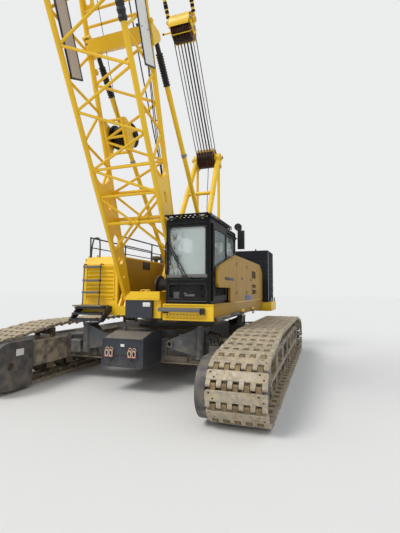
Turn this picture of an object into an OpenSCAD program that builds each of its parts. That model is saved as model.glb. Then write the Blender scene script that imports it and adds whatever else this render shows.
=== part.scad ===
// Crawler crane with a lattice boom, in its working stance.
// X runs forward, Y to the operator's left, Z up; the origin is on the ground under the slewing centre.

/* [Tracks] */
// Distance from the middle of the machine to the inner edge of a track
track_inner_y = 2030; // [1800:10:2300]
// Width of a track shoe
shoe_w = 850; // [700:10:900]
// Distance between the idler's and the sprocket's axles
wheelbase = 6720; // [6000:20:7200]
// Outer radius of the track round its end wheels
track_end_r = 500; // [450:5:540]
// Height of the track's top run
track_top = 1200; // [1120:10:1260]
// Shoes in one track
shoe_count = 60; // [52:1:66]

/* [Carbody] */
// Centre of each transverse beam ahead of and behind the slewing centre
beam_x = 1575; // [1400:5:1700]
// Length of each transverse beam along the machine
beam_w = 450; // [380:10:520]
// Front face of the carbody weight
weight_x = 2600; // [2400:10:2800]
// Width of the carbody weight
weight_w = 860; // [700:10:1000]
// Radius of the slewing bearing
bearing_r = 900; // [700:10:1000]

/* [Superstructure] */
// Underside of the slewing frame
deck_z = 1360; // [1340:5:1400]
// Top of the side decks
deck_top = 1660; // [1600:5:1700]
// Half width over the side decks
deck_y = 1730; // [1650:5:1800]
// Front edge of the cab's deck
deck_front = 2430; // [2200:10:2500]
// Rear edge of the decks
deck_rear = -2850; // [-3200:10:-2700]
// Top of the machinery housings
housing_top = 2690; // [2500:10:2800]

/* [Cab] */
// Front face of the cab
cab_front = 2400; // [2200:10:2450]
// Rear face of the cab
cab_rear = 350; // [200:10:600]
// Inner side of the cab
cab_in = 765; // [755:5:800]
// Outer side of the cab
cab_out = 1650; // [1600:5:1680]
// Top of the cab
cab_top = 3240; // [3100:10:3300]

/* [Boom] */
// Boom angle above the horizontal
boom_angle = 66.5; // [66:0.5:67]
// Length from the foot pin to the head sheaves
boom_length = 25000; // [24000:500:26000]
// Length of the butt section from the foot pin
butt_length = 6300; // [6000:50:6600]
// Length of one insert
insert_length = 6000; // [5800:50:6200]
// Spacing of the chord tubes across the boom
chord_w = 1300; // [1260:10:1320]
// Spacing of the chord tubes in depth
chord_d = 1160; // [1080:10:1200]
// Diameter of a chord tube
chord_dia = 102; // [90:1:110]
// Diameter of a lacing tube
lacing_dia = 54; // [44:1:60]

/* [Gantry] */
// Gantry sheave axle behind the slewing centre
gantry_x = -2520; // [-2700:10:-2400]
// Height of the gantry sheave axle
gantry_z = 6270; // [6000:10:6400]
// Distance from the gantry axle to the spreader axle
bridle_reach = 3650; // [3500:10:3900]

/* [Hidden] */

$fn = 32;
yellow = [0.93, 0.70, 0.08];
slate = [0.24, 0.26, 0.30];
steel = [0.42, 0.40, 0.36];
rust = [0.27, 0.16, 0.13];
black = [0.09, 0.09, 0.10];
glass = [0.70, 0.80, 0.78, 0.5];

// Track loop, measured on the line through the shoes' hinge pins
shoe_out = 45;
shoe_in = 45;
axle_x = wheelbase / 2;
axle_z = track_end_r;
pin_r = track_end_r - shoe_out;
carrier_x = 1900;
top_z = track_top - shoe_out;
rise = top_z - axle_z;
run = carrier_x - axle_x;
slope_span = sqrt(rise * rise + run * run - pin_r * pin_r);
wrap_end = atan2(rise, run) - acos(pin_r / sqrt(rise * rise + run * run));
arc_len = pin_r * (wrap_end + 90) * PI / 180;
half_loop = axle_x + arc_len + slope_span + carrier_x;
pitch = 2 * half_loop / shoe_count;
end_wheel_r = (pin_r - shoe_in) * cos(90 * pitch / (PI * pin_r)) - 2;

// Place and heading on the forward half of the loop, s from the middle of the ground run
function half_at(s) =
  s < axle_x ? [s, shoe_out, 0] :
  s < axle_x + arc_len ?
    let (a = -90 + (s - axle_x) / pin_r * 180 / PI)
    [axle_x + pin_r * cos(a), axle_z + pin_r * sin(a), a + 90] :
  s < axle_x + arc_len + slope_span ?
    let (t = s - axle_x - arc_len, h = wrap_end + 90)
    [axle_x + pin_r * cos(wrap_end) + t * cos(h), axle_z + pin_r * sin(wrap_end) + t * sin(h), h] :
  let (t = s - axle_x - arc_len - slope_span) [carrier_x - t, top_z, 180];
function loop_at(s) = s <= half_loop ? half_at(s) :
  let (p = half_at(2 * half_loop - s)) [-p[0], p[1], 360 - p[2]];
// Point n outside the pin line and t along the heading
function off(p, t, n) = [p[0] + t * cos(p[2]) + n * sin(p[2]), p[1] + t * sin(p[2]) - n * cos(p[2])];

module side_plate(y0, y1) {
  translate([0, y1, 0]) rotate([90, 0, 0]) linear_extrude(y1 - y0) children();
}

module box(x0, x1, y0, y1, z0, z1) {
  translate([x0, y0, z0]) cube([x1 - x0, y1 - y0, z1 - z0]);
}

module mirrored_y() {
  children();
  mirror([0, 1, 0]) children();
}

module mirrored_x() {
  children();
  mirror([1, 0, 0]) children();
}

module rod(p, q, d, fn = 12) {
  v = q - p;
  len = norm(v);
  translate(p) rotate([0, acos(v[2] / len), atan2(v[1], v[0])]) cylinder(h = len, d = d, $fn = fn);
}

module axle_y(x, z, y0, y1, r, fn = 32) {
  translate([x, y0, z]) rotate([-90, 0, 0]) cylinder(h = y1 - y0, r = r, $fn = fn);
}

// Tracks and their frames

module track() {
  outer = [for (i = [0:shoe_count - 1]) let (p = loop_at((i + 0.5) * pitch))
    each [off(p, -0.46 * pitch, 0), off(p, -0.44 * pitch, shoe_out),
          off(p, 0.44 * pitch, shoe_out), off(p, 0.46 * pitch, 0)]];
  inner = [for (i = [0:shoe_count - 1]) let (p = loop_at(i * pitch)) off(p, 0, -shoe_in)];
  color(steel) side_plate(track_inner_y, track_inner_y + shoe_w) difference() {
    polygon(outer);
    polygon(inner);
  }
}

frame_in = 1900;
frame_out = 2760;
frame_low = 400;
frame_high = 880;
frame_end = 2900;
idler_y0 = 2260;
idler_y1 = 2650;
axle_r = 70;

// Rounded end cheek that carries an end wheel's axle
module end_cheek(y0, y1, r) {
  side_plate(y0, y1) difference() {
    union() {
      translate([axle_x, axle_z]) circle(r = r, $fn = 64);
      translate([frame_end - 60, axle_z - r]) square([axle_x - frame_end + 60, 2 * r]);
    }
    translate([axle_x, axle_z]) circle(r = axle_r + 0.3, $fn = 48);
  }
}

roller_r = 150;
roller_z = 2 * shoe_out + roller_r;
roller_xs = [for (i = [-4:4]) i * 640];
carrier_r = 95;
carrier_z = track_top - 2 * shoe_out - carrier_r - 6;

module track_frame() {
  color(slate) difference() {
    union() {
      box(-frame_end, frame_end, frame_in, frame_out, frame_low, frame_high);
      mirrored_x() end_cheek(frame_in - 30, idler_y0 - 20, 370);
      mirrored_x() end_cheek(frame_in - 30, track_inner_y - 12, track_end_r - 60);
      mirrored_x() end_cheek(idler_y1 + 20, frame_out, 300);
      for (x = roller_xs, y = [frame_in + 340, frame_out - 50])
        box(x - 90, x + 90, y, y + 50, roller_z - 60, frame_low);
      for (x = [-carrier_x, carrier_x], y = [idler_y0 - 40, idler_y1])
        box(x - 70, x + 70, y, y + 40, frame_high, carrier_z + 50);
    }
    for (x = [-2300:920:2300])
      box(x - 330, x + 330, frame_out - 90, frame_out + 1, frame_low + 90, frame_high - 110);
    for (s = [-1, 1])
      box(s * 500 - 380, s * 500 + 380, frame_in - 31, frame_in + 80, frame_low + 90, frame_high - 110);
  }
}

module idler() {
  axle_y(axle_x, axle_z, idler_y0 + 60, idler_y1 - 60, end_wheel_r, 64);
  axle_y(axle_x, axle_z, idler_y0, idler_y1, end_wheel_r - 90, 64);
  axle_y(axle_x, axle_z, idler_y0 - 20, idler_y1 + 20, axle_r + 60);
  axle_y(axle_x, axle_z, frame_in + 30, frame_out + 25, axle_r);
}

module sprocket() {
  axle_y(-axle_x, axle_z, idler_y0 + 30, idler_y1 - 30, end_wheel_r - 60, 64);
  for (i = [0:11])
    translate([-axle_x, 0, axle_z]) rotate([0, i * 30 + 15, 0])
      box(end_wheel_r - 90, end_wheel_r - 4, idler_y0 + 90, idler_y1 - 90, -45, 45);
  axle_y(-axle_x, axle_z, idler_y0 - 20, idler_y1 + 20, axle_r + 90);
  axle_y(-axle_x, axle_z, frame_in - 60, frame_out + 25, axle_r);
}

module lower_roller_set() {
  for (x = roller_xs) {
    axle_y(x, roller_z, frame_in + 430, frame_out - 90, roller_r - 25);
    axle_y(x, roller_z, frame_in + 430, frame_in + 500, roller_r);
    axle_y(x, roller_z, frame_out - 160, frame_out - 90, roller_r);
    axle_y(x, roller_z, frame_in + 390, frame_out - 50, 45, 24);
  }
}

module carrier_roller_set() {
  for (x = [-carrier_x, carrier_x]) {
    axle_y(x, carrier_z, idler_y0 + 40, idler_y1 - 40, carrier_r);
    axle_y(x, carrier_z, idler_y0, idler_y1, 35, 24);
  }
}

// Carbody

beam_z0 = 450;
beam_z1 = 940;
core_z = 1080;
jack_x = beam_x + beam_w / 2 + 110;
jack_y = 1300;
jack_pin_r = 40;
jack_low = 640;
jack_high = 1150;

module transverse_beam() {
  x0 = beam_x - beam_w / 2;
  x1 = beam_x + beam_w / 2;
  difference() {
    box(x0, x1, -frame_in, frame_in, beam_z0, beam_z1);
    mirrored_y() for (y = [560, 1240])
      box(x1 - 35, x1 + 1, y, y + 560, beam_z0 + 40, beam_z1 - 40);
    mirrored_y() for (y = [960, 1430])
      box(x0 - 1, x0 + 35, y, y + 400, beam_z0 + 40, beam_z1 - 40);
  }
}

module jack_lugs() {
  mirrored_y() difference() {
    for (z = [jack_low - 45, jack_high + 5])
      translate([0, 0, z]) linear_extrude(40) union() {
        translate([beam_x, jack_y - 90]) square([jack_x - beam_x, 180]);
        translate([jack_x, jack_y]) circle(r = 90, $fn = 48);
      }
    translate([jack_x, jack_y, 0]) cylinder(h = 2000, r = jack_pin_r, $fn = 48);
  }
  mirrored_y() translate([jack_x, jack_y, jack_low - 45])
    cylinder(h = jack_high - jack_low + 90, r = jack_pin_r, $fn = 48);
}

module carbody() {
  color(slate) union() {
    mirrored_x() transverse_beam();
    translate([0, 0, beam_z0 + 60]) linear_extrude(core_z - beam_z0 - 60)
      polygon([[-1560, -620], [-1000, -1120], [1000, -1120], [1560, -620],
               [1560, 620], [1000, 1120], [-1000, 1120], [-1560, 620]]);
    mirrored_x() mirrored_y() side_plate(jack_y - 60, jack_y + 60)
      polygon([[beam_x - 200, beam_z1 - 1], [beam_x + 200, beam_z1 - 1], [beam_x + 200, jack_high + 45],
               [beam_x + 60, jack_high + 45]]);
    mirrored_x() jack_lugs();
    translate([0, 0, core_z]) cylinder(h = 80, r = bearing_r + 60, $fn = 96);
  }
}

weight_z0 = 470;
weight_z1 = 990;

module carbody_weight() {
  x0 = beam_x + beam_w / 2;
  color(slate) difference() {
    side_plate(-weight_w / 2, weight_w / 2)
      polygon([[x0, weight_z0], [weight_x - 20, weight_z0], [weight_x, weight_z0 + 20], [weight_x, weight_z1],
               [weight_x - 420, weight_z1 + 110], [x0, weight_z1 + 110]]);
    translate([weight_x - 12, 0, weight_z0 - 60]) rotate([0, 90, 0]) difference() {
      cylinder(h = 13, r = 300, $fn = 64);
      translate([0, 0, -1]) cylinder(h = 15, r = 285, $fn = 64);
    }
    for (s = [-1, 1])
      box(weight_x - 500, weight_x + 1, s * (weight_w / 2 - 12) - 6, s * (weight_w / 2 - 12) + 6,
          weight_z1 + 2, weight_z1 + 200);
  }
}

module slew_bearing() {
  color(steel) difference() {
    union() {
      translate([0, 0, core_z + 80]) cylinder(h = 110, r = bearing_r, $fn = 96);
      translate([0, 0, core_z + 190]) cylinder(h = deck_z - core_z - 200, r = bearing_r - 60, $fn = 96);
    }
    translate([0, 0, core_z]) cylinder(h = 600, r = bearing_r - 260, $fn = 96);
  }
}

// Swing-out arm, drawn at the front left corner with its tip towards the middle
module jack_arm() {
  reach = 640;
  color(slate) difference() {
    union() {
      translate([jack_x, jack_y, jack_low]) cylinder(h = jack_high - jack_low, r = 80, $fn = 48);
      translate([jack_x + 35, jack_y, 0]) rotate([90, 0, -90]) linear_extrude(70)
        polygon([[0, jack_low], [reach - 80, 740], [reach + 40, 790], [reach + 60, 870], [reach, 930],
                 [110, jack_high], [0, jack_high]]);
      translate([jack_x - 55, jack_y - reach + 20, 850]) rotate([0, 90, 0]) cylinder(h = 110, r = 80, $fn = 48);
    }
    translate([jack_x, jack_y, 0]) cylinder(h = 2000, r = jack_pin_r + 0.3, $fn = 48);
    translate([jack_x - 100, jack_y - reach + 20, 850]) rotate([0, 90, 0]) cylinder(h = 200, r = 42, $fn = 48);
  }
}

// Slewing frame and machinery

foot_x = 1350;
foot_z = 1750;
foot_pin_r = 45;
chord_y = chord_w / 2;
core_y = 745;
backstop_y = 650;
backstop_x = -1330;
backstop_z = 1980;

module foot_bracket() {
  for (y = [chord_y - 90, chord_y + 50])
    side_plate(y, y + 40) difference() {
      union() {
        translate([foot_x, foot_z]) circle(r = 150, $fn = 64);
        polygon([[foot_x - 500, deck_z + 200], [foot_x + 250, deck_z + 200], [foot_x + 140, foot_z],
                 [foot_x - 140, foot_z + 60]]);
      }
      translate([foot_x, foot_z]) circle(r = foot_pin_r, $fn = 48);
    }
  axle_y(foot_x, foot_z, chord_y - 110, chord_y + 100, foot_pin_r);
}

nose_x = 2190;
nose_z = deck_z + 355;
tool_y0 = -190;
tool_y1 = 400;

// Cover between the boom feet, with one corner cut off, above the box in front of the machine
module nose() {
  difference() {
    translate([foot_x + 259, 0, 0]) rotate([90, 0, 90]) linear_extrude(nose_x - foot_x - 259)
      polygon([[-190, nose_z], [560, nose_z], [560, nose_z + 172], [-80, nose_z + 172], [-190, nose_z + 60]]);
    box(nose_x - 12, nose_x + 1, 60, 500, nose_z + 30, nose_z + 36);
  }
  box(foot_x + 259, nose_x - 60, tool_y1 + 5, 560, deck_z + 5, nose_z + 1);
}

module backstop_bracket() {
  for (y = [backstop_y - 60, backstop_y + 35])
    side_plate(y, y + 25) difference() {
      union() {
        translate([backstop_x, backstop_z]) circle(r = 80, $fn = 48);
        polygon([[backstop_x - 220, deck_z + 200], [backstop_x + 220, deck_z + 200],
                 [backstop_x + 80, backstop_z], [backstop_x - 80, backstop_z]]);
      }
      translate([backstop_x, backstop_z]) circle(r = 30, $fn = 48);
    }
  axle_y(backstop_x, backstop_z, backstop_y - 70, backstop_y + 70, 30);
}

module slewing_frame() {
  color(yellow) union() {
    translate([0, 0, deck_z - 10]) cylinder(h = 60, r = bearing_r + 20, $fn = 96);
    box(deck_rear - 100, foot_x + 260, -core_y, core_y, deck_z, deck_z + 200);
    mirrored_y() box(deck_rear - 100, foot_x - 260, core_y - 60, core_y - 30, deck_z + 200, deck_z + 320);
    // Left deck with the cab's raised floor
    difference() {
      box(deck_rear, deck_front, core_y - 1, deck_y, deck_z, deck_top);
      box(deck_rear + 200, deck_front - 200, core_y + 60, deck_y - 60, deck_z - 1, deck_z + 120);
      box(deck_front - 30, deck_front + 1, cab_in + 60, deck_y - 120, deck_z + 40, deck_z + 120);
    }
    // Right deck
    difference() {
      box(deck_rear, 1600, -deck_y, -core_y + 1, deck_z, deck_top - 60);
      box(deck_rear + 200, 1400, -deck_y + 60, -core_y - 60, deck_z - 1, deck_z + 120);
    }
    for (x = [-1200, 60]) box(x, x + 240, deck_y - 1, deck_y + 50, deck_z + 60, deck_z + 110);
    mirrored_y() foot_bracket();
    nose();
    mirrored_y() backstop_bracket();
    // Rear seat for the counterweight
    box(deck_rear - 1500, deck_rear - 90, -620, 620, deck_z + 10, deck_z + 190);
    mirrored_y() gantry_feet();
  }
}

gantry_foot_x = 0;
gantry_foot_y = 520;
gantry_top_y = 370;
gantry_rear_x = -2600;
gantry_rear_y = 370;
front_leg_dia = 160;
rear_leg_dia = 90;
leg_play = 12;
sheave_half = 285;
head_cheek = 455;
// Eyes of the rear legs, measured from the gantry axle
rear_eye_x = -70;
rear_eye_z = -260;

module gantry_feet() {
  for (x = [gantry_foot_x, gantry_rear_x])
    let (front = x == gantry_foot_x, y = front ? gantry_foot_y : gantry_rear_y,
         half = (front ? front_leg_dia : rear_leg_dia) / 2 + leg_play)
    for (s = [-half - 20, half])
      side_plate(y + s, y + s + 20)
        polygon([[x - 150, deck_z + 199], [x + 150, deck_z + 199],
                 [x + 60, deck_z + 430], [x - 60, deck_z + 430]]);
}

wall = 40;
cab_floor = deck_top;

module rounded(x0, x1, y0, y1, r) {
  translate([x0 + r, y0]) square([x1 - x0 - 2 * r, y1 - y0]);
  translate([x0, y0 + r]) square([x1 - x0, y1 - y0 - 2 * r]);
  for (x = [x0 + r, x1 - r], y = [y0 + r, y1 - r]) translate([x, y]) circle(r = r, $fn = 32);
}

door_x0 = 1330;
door_x1 = 2290;
door_z0 = 1740;
door_z1 = 3130;

// Levels of the panes, taken from the cab's floor and roof
screen_z0 = cab_floor + 450;
screen_z1 = cab_top - 150;
low_z0 = cab_floor + 100;
low_z1 = screen_z0 - 80;
pane_z0 = screen_z0 + 120;
pane_z1 = cab_top - 160;
pane_x0 = cab_rear + 160;
pane_x1 = door_x0 - 80;
screen_in = 75;
roof_x0 = cab_front - 900;
roof_x1 = cab_front - 250;

// Rails that the sliding door hangs from and runs on
module door_rails() {
  for (z = [door_z0 - 22, door_z1 + 0.3])
    box(door_x0 - 720, door_x1 + 10, cab_out - 1, cab_out + 34, z, z + 21.7);
}

module cab_shell() {
  color(black) door_rails();
  color(black) difference() {
    translate([0, 0, cab_floor]) linear_extrude(cab_top - cab_floor)
      rounded(cab_rear, cab_front, cab_in, cab_out, 70);
    translate([0, 0, cab_floor + 50]) linear_extrude(cab_top - cab_floor - 100)
      rounded(cab_rear + wall, cab_front - wall, cab_in + wall, cab_out - wall, 50);
    // Windscreen and lower front window
    box(cab_front - 200, cab_front + 1, cab_in + screen_in, cab_out - screen_in, screen_z0, screen_z1);
    box(cab_front - 200, cab_front + 1, cab_in + screen_in + 10, cab_out - screen_in - 10, low_z0, low_z1);
    // Door opening and the pane behind it
    box(door_x0 + 50, door_x1 - 50, cab_out - 60, cab_out + 1, door_z0 + 40, door_z1 - 50);
    box(pane_x0, pane_x1, cab_out - 60, cab_out + 1, pane_z0, pane_z1);
    // Right side, rear and roof windows
    box(cab_rear + 550, cab_front - 150, cab_in - 1, cab_in + 60, pane_z0 - 100, pane_z1);
    box(cab_rear - 1, cab_rear + 60, cab_in + 110, cab_out - 110, pane_z0 + 70, pane_z1 - 20);
    box(roof_x0, roof_x1, cab_in + 150, cab_out - 150, cab_top - 60, cab_top + 1);
  }
}

module cab_glass() {
  color(glass) {
    box(cab_front - 26, cab_front - 18, cab_in + screen_in, cab_out - screen_in, screen_z0, screen_z1);
    box(cab_front - 26, cab_front - 18, cab_in + screen_in + 10, cab_out - screen_in - 10, low_z0, low_z1);
    box(pane_x0, pane_x1, cab_out - 26, cab_out - 18, pane_z0, pane_z1);
    box(cab_rear + 550, cab_front - 150, cab_in + 18, cab_in + 26, pane_z0 - 100, pane_z1);
    box(cab_rear + 18, cab_rear + 26, cab_in + 110, cab_out - 110, pane_z0 + 70, pane_z1 - 20);
    box(roof_x0, roof_x1, cab_in + 150, cab_out - 150, cab_top - 26, cab_top - 18);
  }
}

module cab_door() {
  y0 = cab_out + 6;
  color(black) difference() {
    box(door_x0, door_x1, y0, y0 + 28, door_z0, door_z1);
    box(door_x0 + 70, door_x1 - 70, y0 - 1, y0 + 29, 2230, door_z1 - 60);
    box(door_x0 + 70, door_x1 - 70, y0 - 1, y0 + 29, 1800, 2150);
  }
}

module cab_door_glass() {
  y0 = cab_out + 16;
  color(glass) {
    box(door_x0 + 70, door_x1 - 70, y0, y0 + 6, 2230, door_z1 - 60);
    box(door_x0 + 70, door_x1 - 70, y0, y0 + 6, 1800, 2150);
  }
}

module cab_guard() {
  z = cab_top + 70;
  color(black) {
    for (y = [cab_in + 30, cab_out - 30]) {
      rod([cab_rear + 500, y, z], [cab_front + 60, y, z], 34);
      for (x = [cab_rear + 520, 1500, cab_front - 120]) rod([x, y, cab_top], [x, y, z], 30);
    }
    for (i = [0:10])
      let (x = cab_rear + 520 + i * (cab_front + 40 - cab_rear - 520) / 10)
      box(x - 12, x + 12, cab_in + 30, cab_out - 30, z - 14, z + 8);
  }
}

module operator_seat() {
  y0 = (cab_in + cab_out) / 2 - 250;
  color(black) union() {
    box(900, 1380, y0 + 120, y0 + 380, cab_floor + 50, cab_floor + 330);
    box(860, 1420, y0, y0 + 500, cab_floor + 330, cab_floor + 470);
    translate([870, y0 + 20, cab_floor + 440]) rotate([0, -12, 0]) cube([130, 460, 640]);
    translate([752, y0 + 130, cab_floor + 1040]) rotate([0, -12, 0]) cube([100, 240, 190]);
  }
}

module control_console() {
  y0 = cab_in + wall;
  color(slate) union() {
    box(900, 1650, y0, y0 + 130, cab_floor + 50, cab_floor + 560);
    box(1950, 2240, cab_in + 250, cab_in + 560, cab_floor + 50, cab_floor + 380);
    rod([1600, y0 + 70, cab_floor + 540], [1640, y0 + 80, cab_floor + 760], 36);
    rod([2230, cab_in + 130, cab_floor + 50], [2230, cab_in + 130, cab_floor + 880], 30);
    box(2190, 2230, cab_in + 60, cab_in + 300, cab_floor + 800, cab_floor + 1000);
  }
}

module mirrors() {
  x = cab_rear - 50;
  y = cab_out + 100;
  color(black) {
    box(cab_rear + 90, cab_rear + 170, cab_out + 0.3, cab_out + 20, 3080, 3160);
    rod([cab_rear + 130, cab_out + 12, 3120], [x, y, 3120], 26);
    rod([x, y, 2900], [x, y, 3440], 26);
    box(x - 70, x - 10, y - 80, y + 80, 2890, 3330);
    translate([x - 60, y - 70, 3420]) rotate([0, 90, 0]) cylinder(h = 60, r = 85, $fn = 32);
  }
}

// Side housing with its fairing beside the cab
fair_y0 = cab_out + 42;
fair_y1 = fair_y0 + 50;

module left_housing() {
  color(yellow) union() {
    difference() {
      union() {
        side_plate(fair_y0, fair_y1) polygon([
          [deck_rear, deck_top], [1200, deck_top], [1250, 1720], [1250, 1970], [2120, 1970], [2190, 2040],
          [2190, 2280], [2100, 2365], [1970, 2385], [760, housing_top - 10], [-2370, housing_top - 10],
          [-2790, 2510], [deck_rear, 2430]]);
        side_plate(core_y + 40, fair_y0 + 1) polygon([
          [deck_rear, deck_top], [cab_rear - 30, deck_top], [cab_rear - 30, housing_top],
          [-2370, housing_top], [-2790, 2510], [deck_rear, 2430]]);
      }
      // Vents and the panel gaps
      for (z = [[1820, 1930], [1990, 2070], [2250, 2440]])
        box(-1630, -1100, fair_y1 - 30, fair_y1 + 1, z[0], z[1]);
      for (x = [-1850, -420, 690])
        box(x - 6, x + 6, fair_y1 - 14, fair_y1 + 1, deck_top + 60, housing_top - 60);
      for (y = [900:120:1560]) box(-2600, -1700, y, y + 70, housing_top - 30, housing_top + 1);
    }
  }
}

module right_housing() {
  color(yellow) difference() {
    union() {
      side_plate(-deck_y + 20, -core_y - 40) polygon([
        [deck_rear, deck_top - 60], [1560, deck_top - 60], [1560, 2500], [1400, housing_top],
        [deck_rear, housing_top]]);
    }
    for (z = [1740:90:2400]) box(1530, 1561, -deck_y + 140, -core_y - 140, z, z + 45);
    for (x = [-2500:560:900], z = [1760:90:2420])
      box(x, x + 440, -deck_y + 19, -deck_y + 50, z, z + 45);
  }
}

module tool_box() {
  color(slate) difference() {
    box(foot_x + 260, nose_x + 10, tool_y0, tool_y1, deck_z + 5, nose_z - 0.5);
    box(nose_x - 5, nose_x + 11, tool_y0 + 25, tool_y1 - 25, deck_z + 270, deck_z + 276);
  }
}

module access_ladder() {
  color(slate) {
    for (i = [0:2])
      box(1610 + i * 90, 1890 + i * 90, -deck_y + 60, -core_y - 180, 1500 - i * 125, 1540 - i * 125);
    for (y = [-deck_y + 30, -core_y - 180]) side_plate(y, y + 30)
      polygon([[1600, 1560], [1760, 1560], [2070, 1225], [1910, 1225], [1600, 1440]]);
  }
}

rail_x0 = deck_rear + 1050;
rail_x1 = deck_rear + 4210;
rail_h = 470;

module handrails() {
  color(slate) {
    for (y = [-deck_y + 60, -core_y - 100]) {
      for (x = [rail_x0, (rail_x0 + rail_x1) / 2, rail_x1])
        rod([x, y, housing_top], [x, y, housing_top + rail_h], 36);
      rod([rail_x1 + 18, y, housing_top + rail_h], [rail_x0 - 18, y, housing_top + rail_h], 36);
      rod([rail_x1, y, housing_top + rail_h / 2], [rail_x0, y, housing_top + rail_h / 2], 26);
    }
  }
}

module front_step() {
  color(slate) {
    for (y = [810, 1430]) rod([deck_front, y, 1555], [deck_front + 75, y, 1555], 36);
    box(deck_front + 40, deck_front + 110, 700, 1500, 1530, 1580);
  }
}

cw_front = deck_rear - 100;
cw_rear = cw_front - 1400;
cw_y = 1905;
cw_z0 = deck_z + 190;
slab_h = 277;
slabs = 6;

module counterweight() {
  color(slate) union() {
    for (i = [0:slabs - 1]) {
      z = cw_z0 + i * slab_h;
      for (s = [-1, 1]) scale([1, s, 1]) translate([0, 0, z]) linear_extrude(slab_h - 8) difference() {
        union() {
          translate([cw_rear + 200, 60]) square([cw_front - cw_rear - 200, cw_y - 60]);
          translate([cw_rear, 60]) square([400, cw_y - 260]);
          translate([cw_rear + 200, cw_y - 200]) circle(r = 200, $fn = 48);
        }
        translate([cw_front - 25, 1559]) square([26, 12]);
      }
      box(cw_rear + 60, cw_front - 60, -cw_y + 60, cw_y - 60, z + slab_h - 20, z + slab_h);
    }
    box(cw_rear + 30, cw_front - 80, -60, 60, cw_z0, cw_z0 + slabs * slab_h);
  }
  color(yellow) mirrored_y() box(cw_rear + 250, cw_front - 20, 640, cw_y + 90, deck_z - 90, cw_z0);
}

// Gantry

gx = gantry_x;
gz = gantry_z;

module gantry_front_legs() {
  foot = [gantry_foot_x, gantry_foot_y, deck_z + 380];
  top = [gx, gantry_top_y, gz];
  ear = rear_leg_dia / 2 + leg_play;
  color(yellow) union() {
    mirrored_y() {
      rod(foot, top, front_leg_dia, 24);
      axle_y(gantry_foot_x, deck_z + 380, gantry_foot_y - front_leg_dia / 2 - leg_play,
             gantry_foot_y + front_leg_dia / 2 + leg_play, 85);
      axle_y(gx, gz, sheave_half, head_cheek, 150, 48);
      axle_y(gx, gz, head_cheek - 1, head_cheek + 60, 62, 32);
      for (y = [gantry_rear_y - ear - 20, gantry_rear_y + ear]) side_plate(y, y + 20) {
        translate([gx + rear_eye_x, gz + rear_eye_z]) circle(r = 75, $fn = 32);
        polygon([[gx - 140, gz], [gx + rear_eye_x - 75, gz + rear_eye_z],
                 [gx + rear_eye_x + 60, gz + rear_eye_z - 45], [gx + 140, gz]]);
      }
    }
    for (f = [0.42, 0.7]) let (c = foot + (top - foot) * f) rod(c, [c[0], -c[1], c[2]], 110, 16);
  }
}

module gantry_rear_legs() {
  foot = [gantry_rear_x, gantry_rear_y, deck_z + 380];
  top = [gx + rear_eye_x, gantry_rear_y, gz + rear_eye_z];
  half = rear_leg_dia / 2 + leg_play;
  color(yellow) union() {
    mirrored_y() {
      rod(foot, top, rear_leg_dia, 16);
      axle_y(foot[0], foot[2], gantry_rear_y - half, gantry_rear_y + half, 75);
      axle_y(top[0], top[2], gantry_rear_y - half, gantry_rear_y + half, 70);
    }
    let (c = foot + (top - foot) * 0.5) rod(c, [c[0], -c[1], c[2]], 70, 16);
  }
}

// Sheaves in the gantry's head and in the spreader
bridle_sheaves = 6;
bridle_w = 70;
bridle_gap = 26;
sheave_r = 280;
rope_d = 22;
rope_seat = rope_d / 2 + 0.3;

// Grooved sheave with its groove r from the axle
module sheave(r, w) {
  rotate([-90, 0, 0]) rotate_extrude($fn = 48)
    polygon([[0, -w / 2], [r + 14, -w / 2], [r + 14, 6 - w / 2], [r - rope_seat, -12], [r - rope_seat, 12],
             [r + 14, w / 2 - 6], [r + 14, w / 2], [0, w / 2]]);
}

module sheave_stack(n, r, w, gap, pin_r, half) {
  for (i = [0:n - 1]) translate([0, (i - (n - 1) / 2) * (w + gap), 0]) sheave(r, w);
  axle_y(0, 0, -half, half, pin_r);
}

module gantry_sheaves() {
  color(rust) translate([gx, 0, gz])
    sheave_stack(bridle_sheaves, sheave_r, bridle_w, bridle_gap, 60, sheave_half);
}

module winch(x, z, flange_r, core_r, half) {
  color(slate) union() {
    axle_y(x, z, -half + 40, half - 40, core_r, 48);
    for (s = [-1, 1]) axle_y(x, z, s * (half - 55) - 15, s * (half - 55) + 15, flange_r, 64);
    axle_y(x, z, -half, half, 70);
    for (s = [-1, 1]) side_plate(s * (half - 20) - 20, s * (half - 20) + 20) polygon([
      [x - 240, deck_z + 200], [x + 240, deck_z + 200], [x + 110, z + 90], [x - 110, z + 90]]);
  }
}

// Boom, drawn upright on its foot pin: X to its front face, Z along its axis

taper_base = 70;

function butt_half(s) = taper_base + (chord_d / 2 - taper_base) * s / butt_length;

module place_boom() {
  translate([foot_x, 0, foot_z]) rotate([0, 90 - boom_angle, 0]) children();
}

module chord_joint(x, y, z) {
  translate([x, y, z - 45]) cylinder(h = 90, d = chord_dia + 46, $fn = 24);
}

// Half bays of an insert and of the head
bays = 11;

// Zigzag lacing in n half bays from level za to zb, half width wa to wb and half depth da to db
// Rear face laced in its first m half bays
module lattice(za, zb, wa, wb, da, db, n, m) {
  function corner(f, side, i) =
    let (t = i / n) [f * (da + (db - da) * t), side * (wa + (wb - wa) * t), za + (zb - za) * t];
  for (i = [0:n - 1]) {
    k = i % 2 == 0 ? 1 : -1;
    for (f = i < m ? [-1, 1] : [1]) rod(corner(f, k * f, i), corner(f, -k * f, i + 1), lacing_dia, 8);
    for (side = [-1, 1]) rod(corner(-k * side, side, i), corner(k * side, side, i + 1), lacing_dia, 8);
  }
  for (f = [-1, 1], i = [0, n]) rod(corner(f, -1, i), corner(f, 1, i), lacing_dia, 8);
}

module chords(za, zb, wa, wb, da, db) {
  for (f = [-1, 1], s = [-1, 1]) rod([f * da, s * wa, za], [f * db, s * wb, zb], chord_dia, 12);
}

box_s = 5085;
winch_s = 3420;
winch_y = -330;
winch_gap = 300;
stop_offset = 260;
plate_top = 2800;

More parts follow.
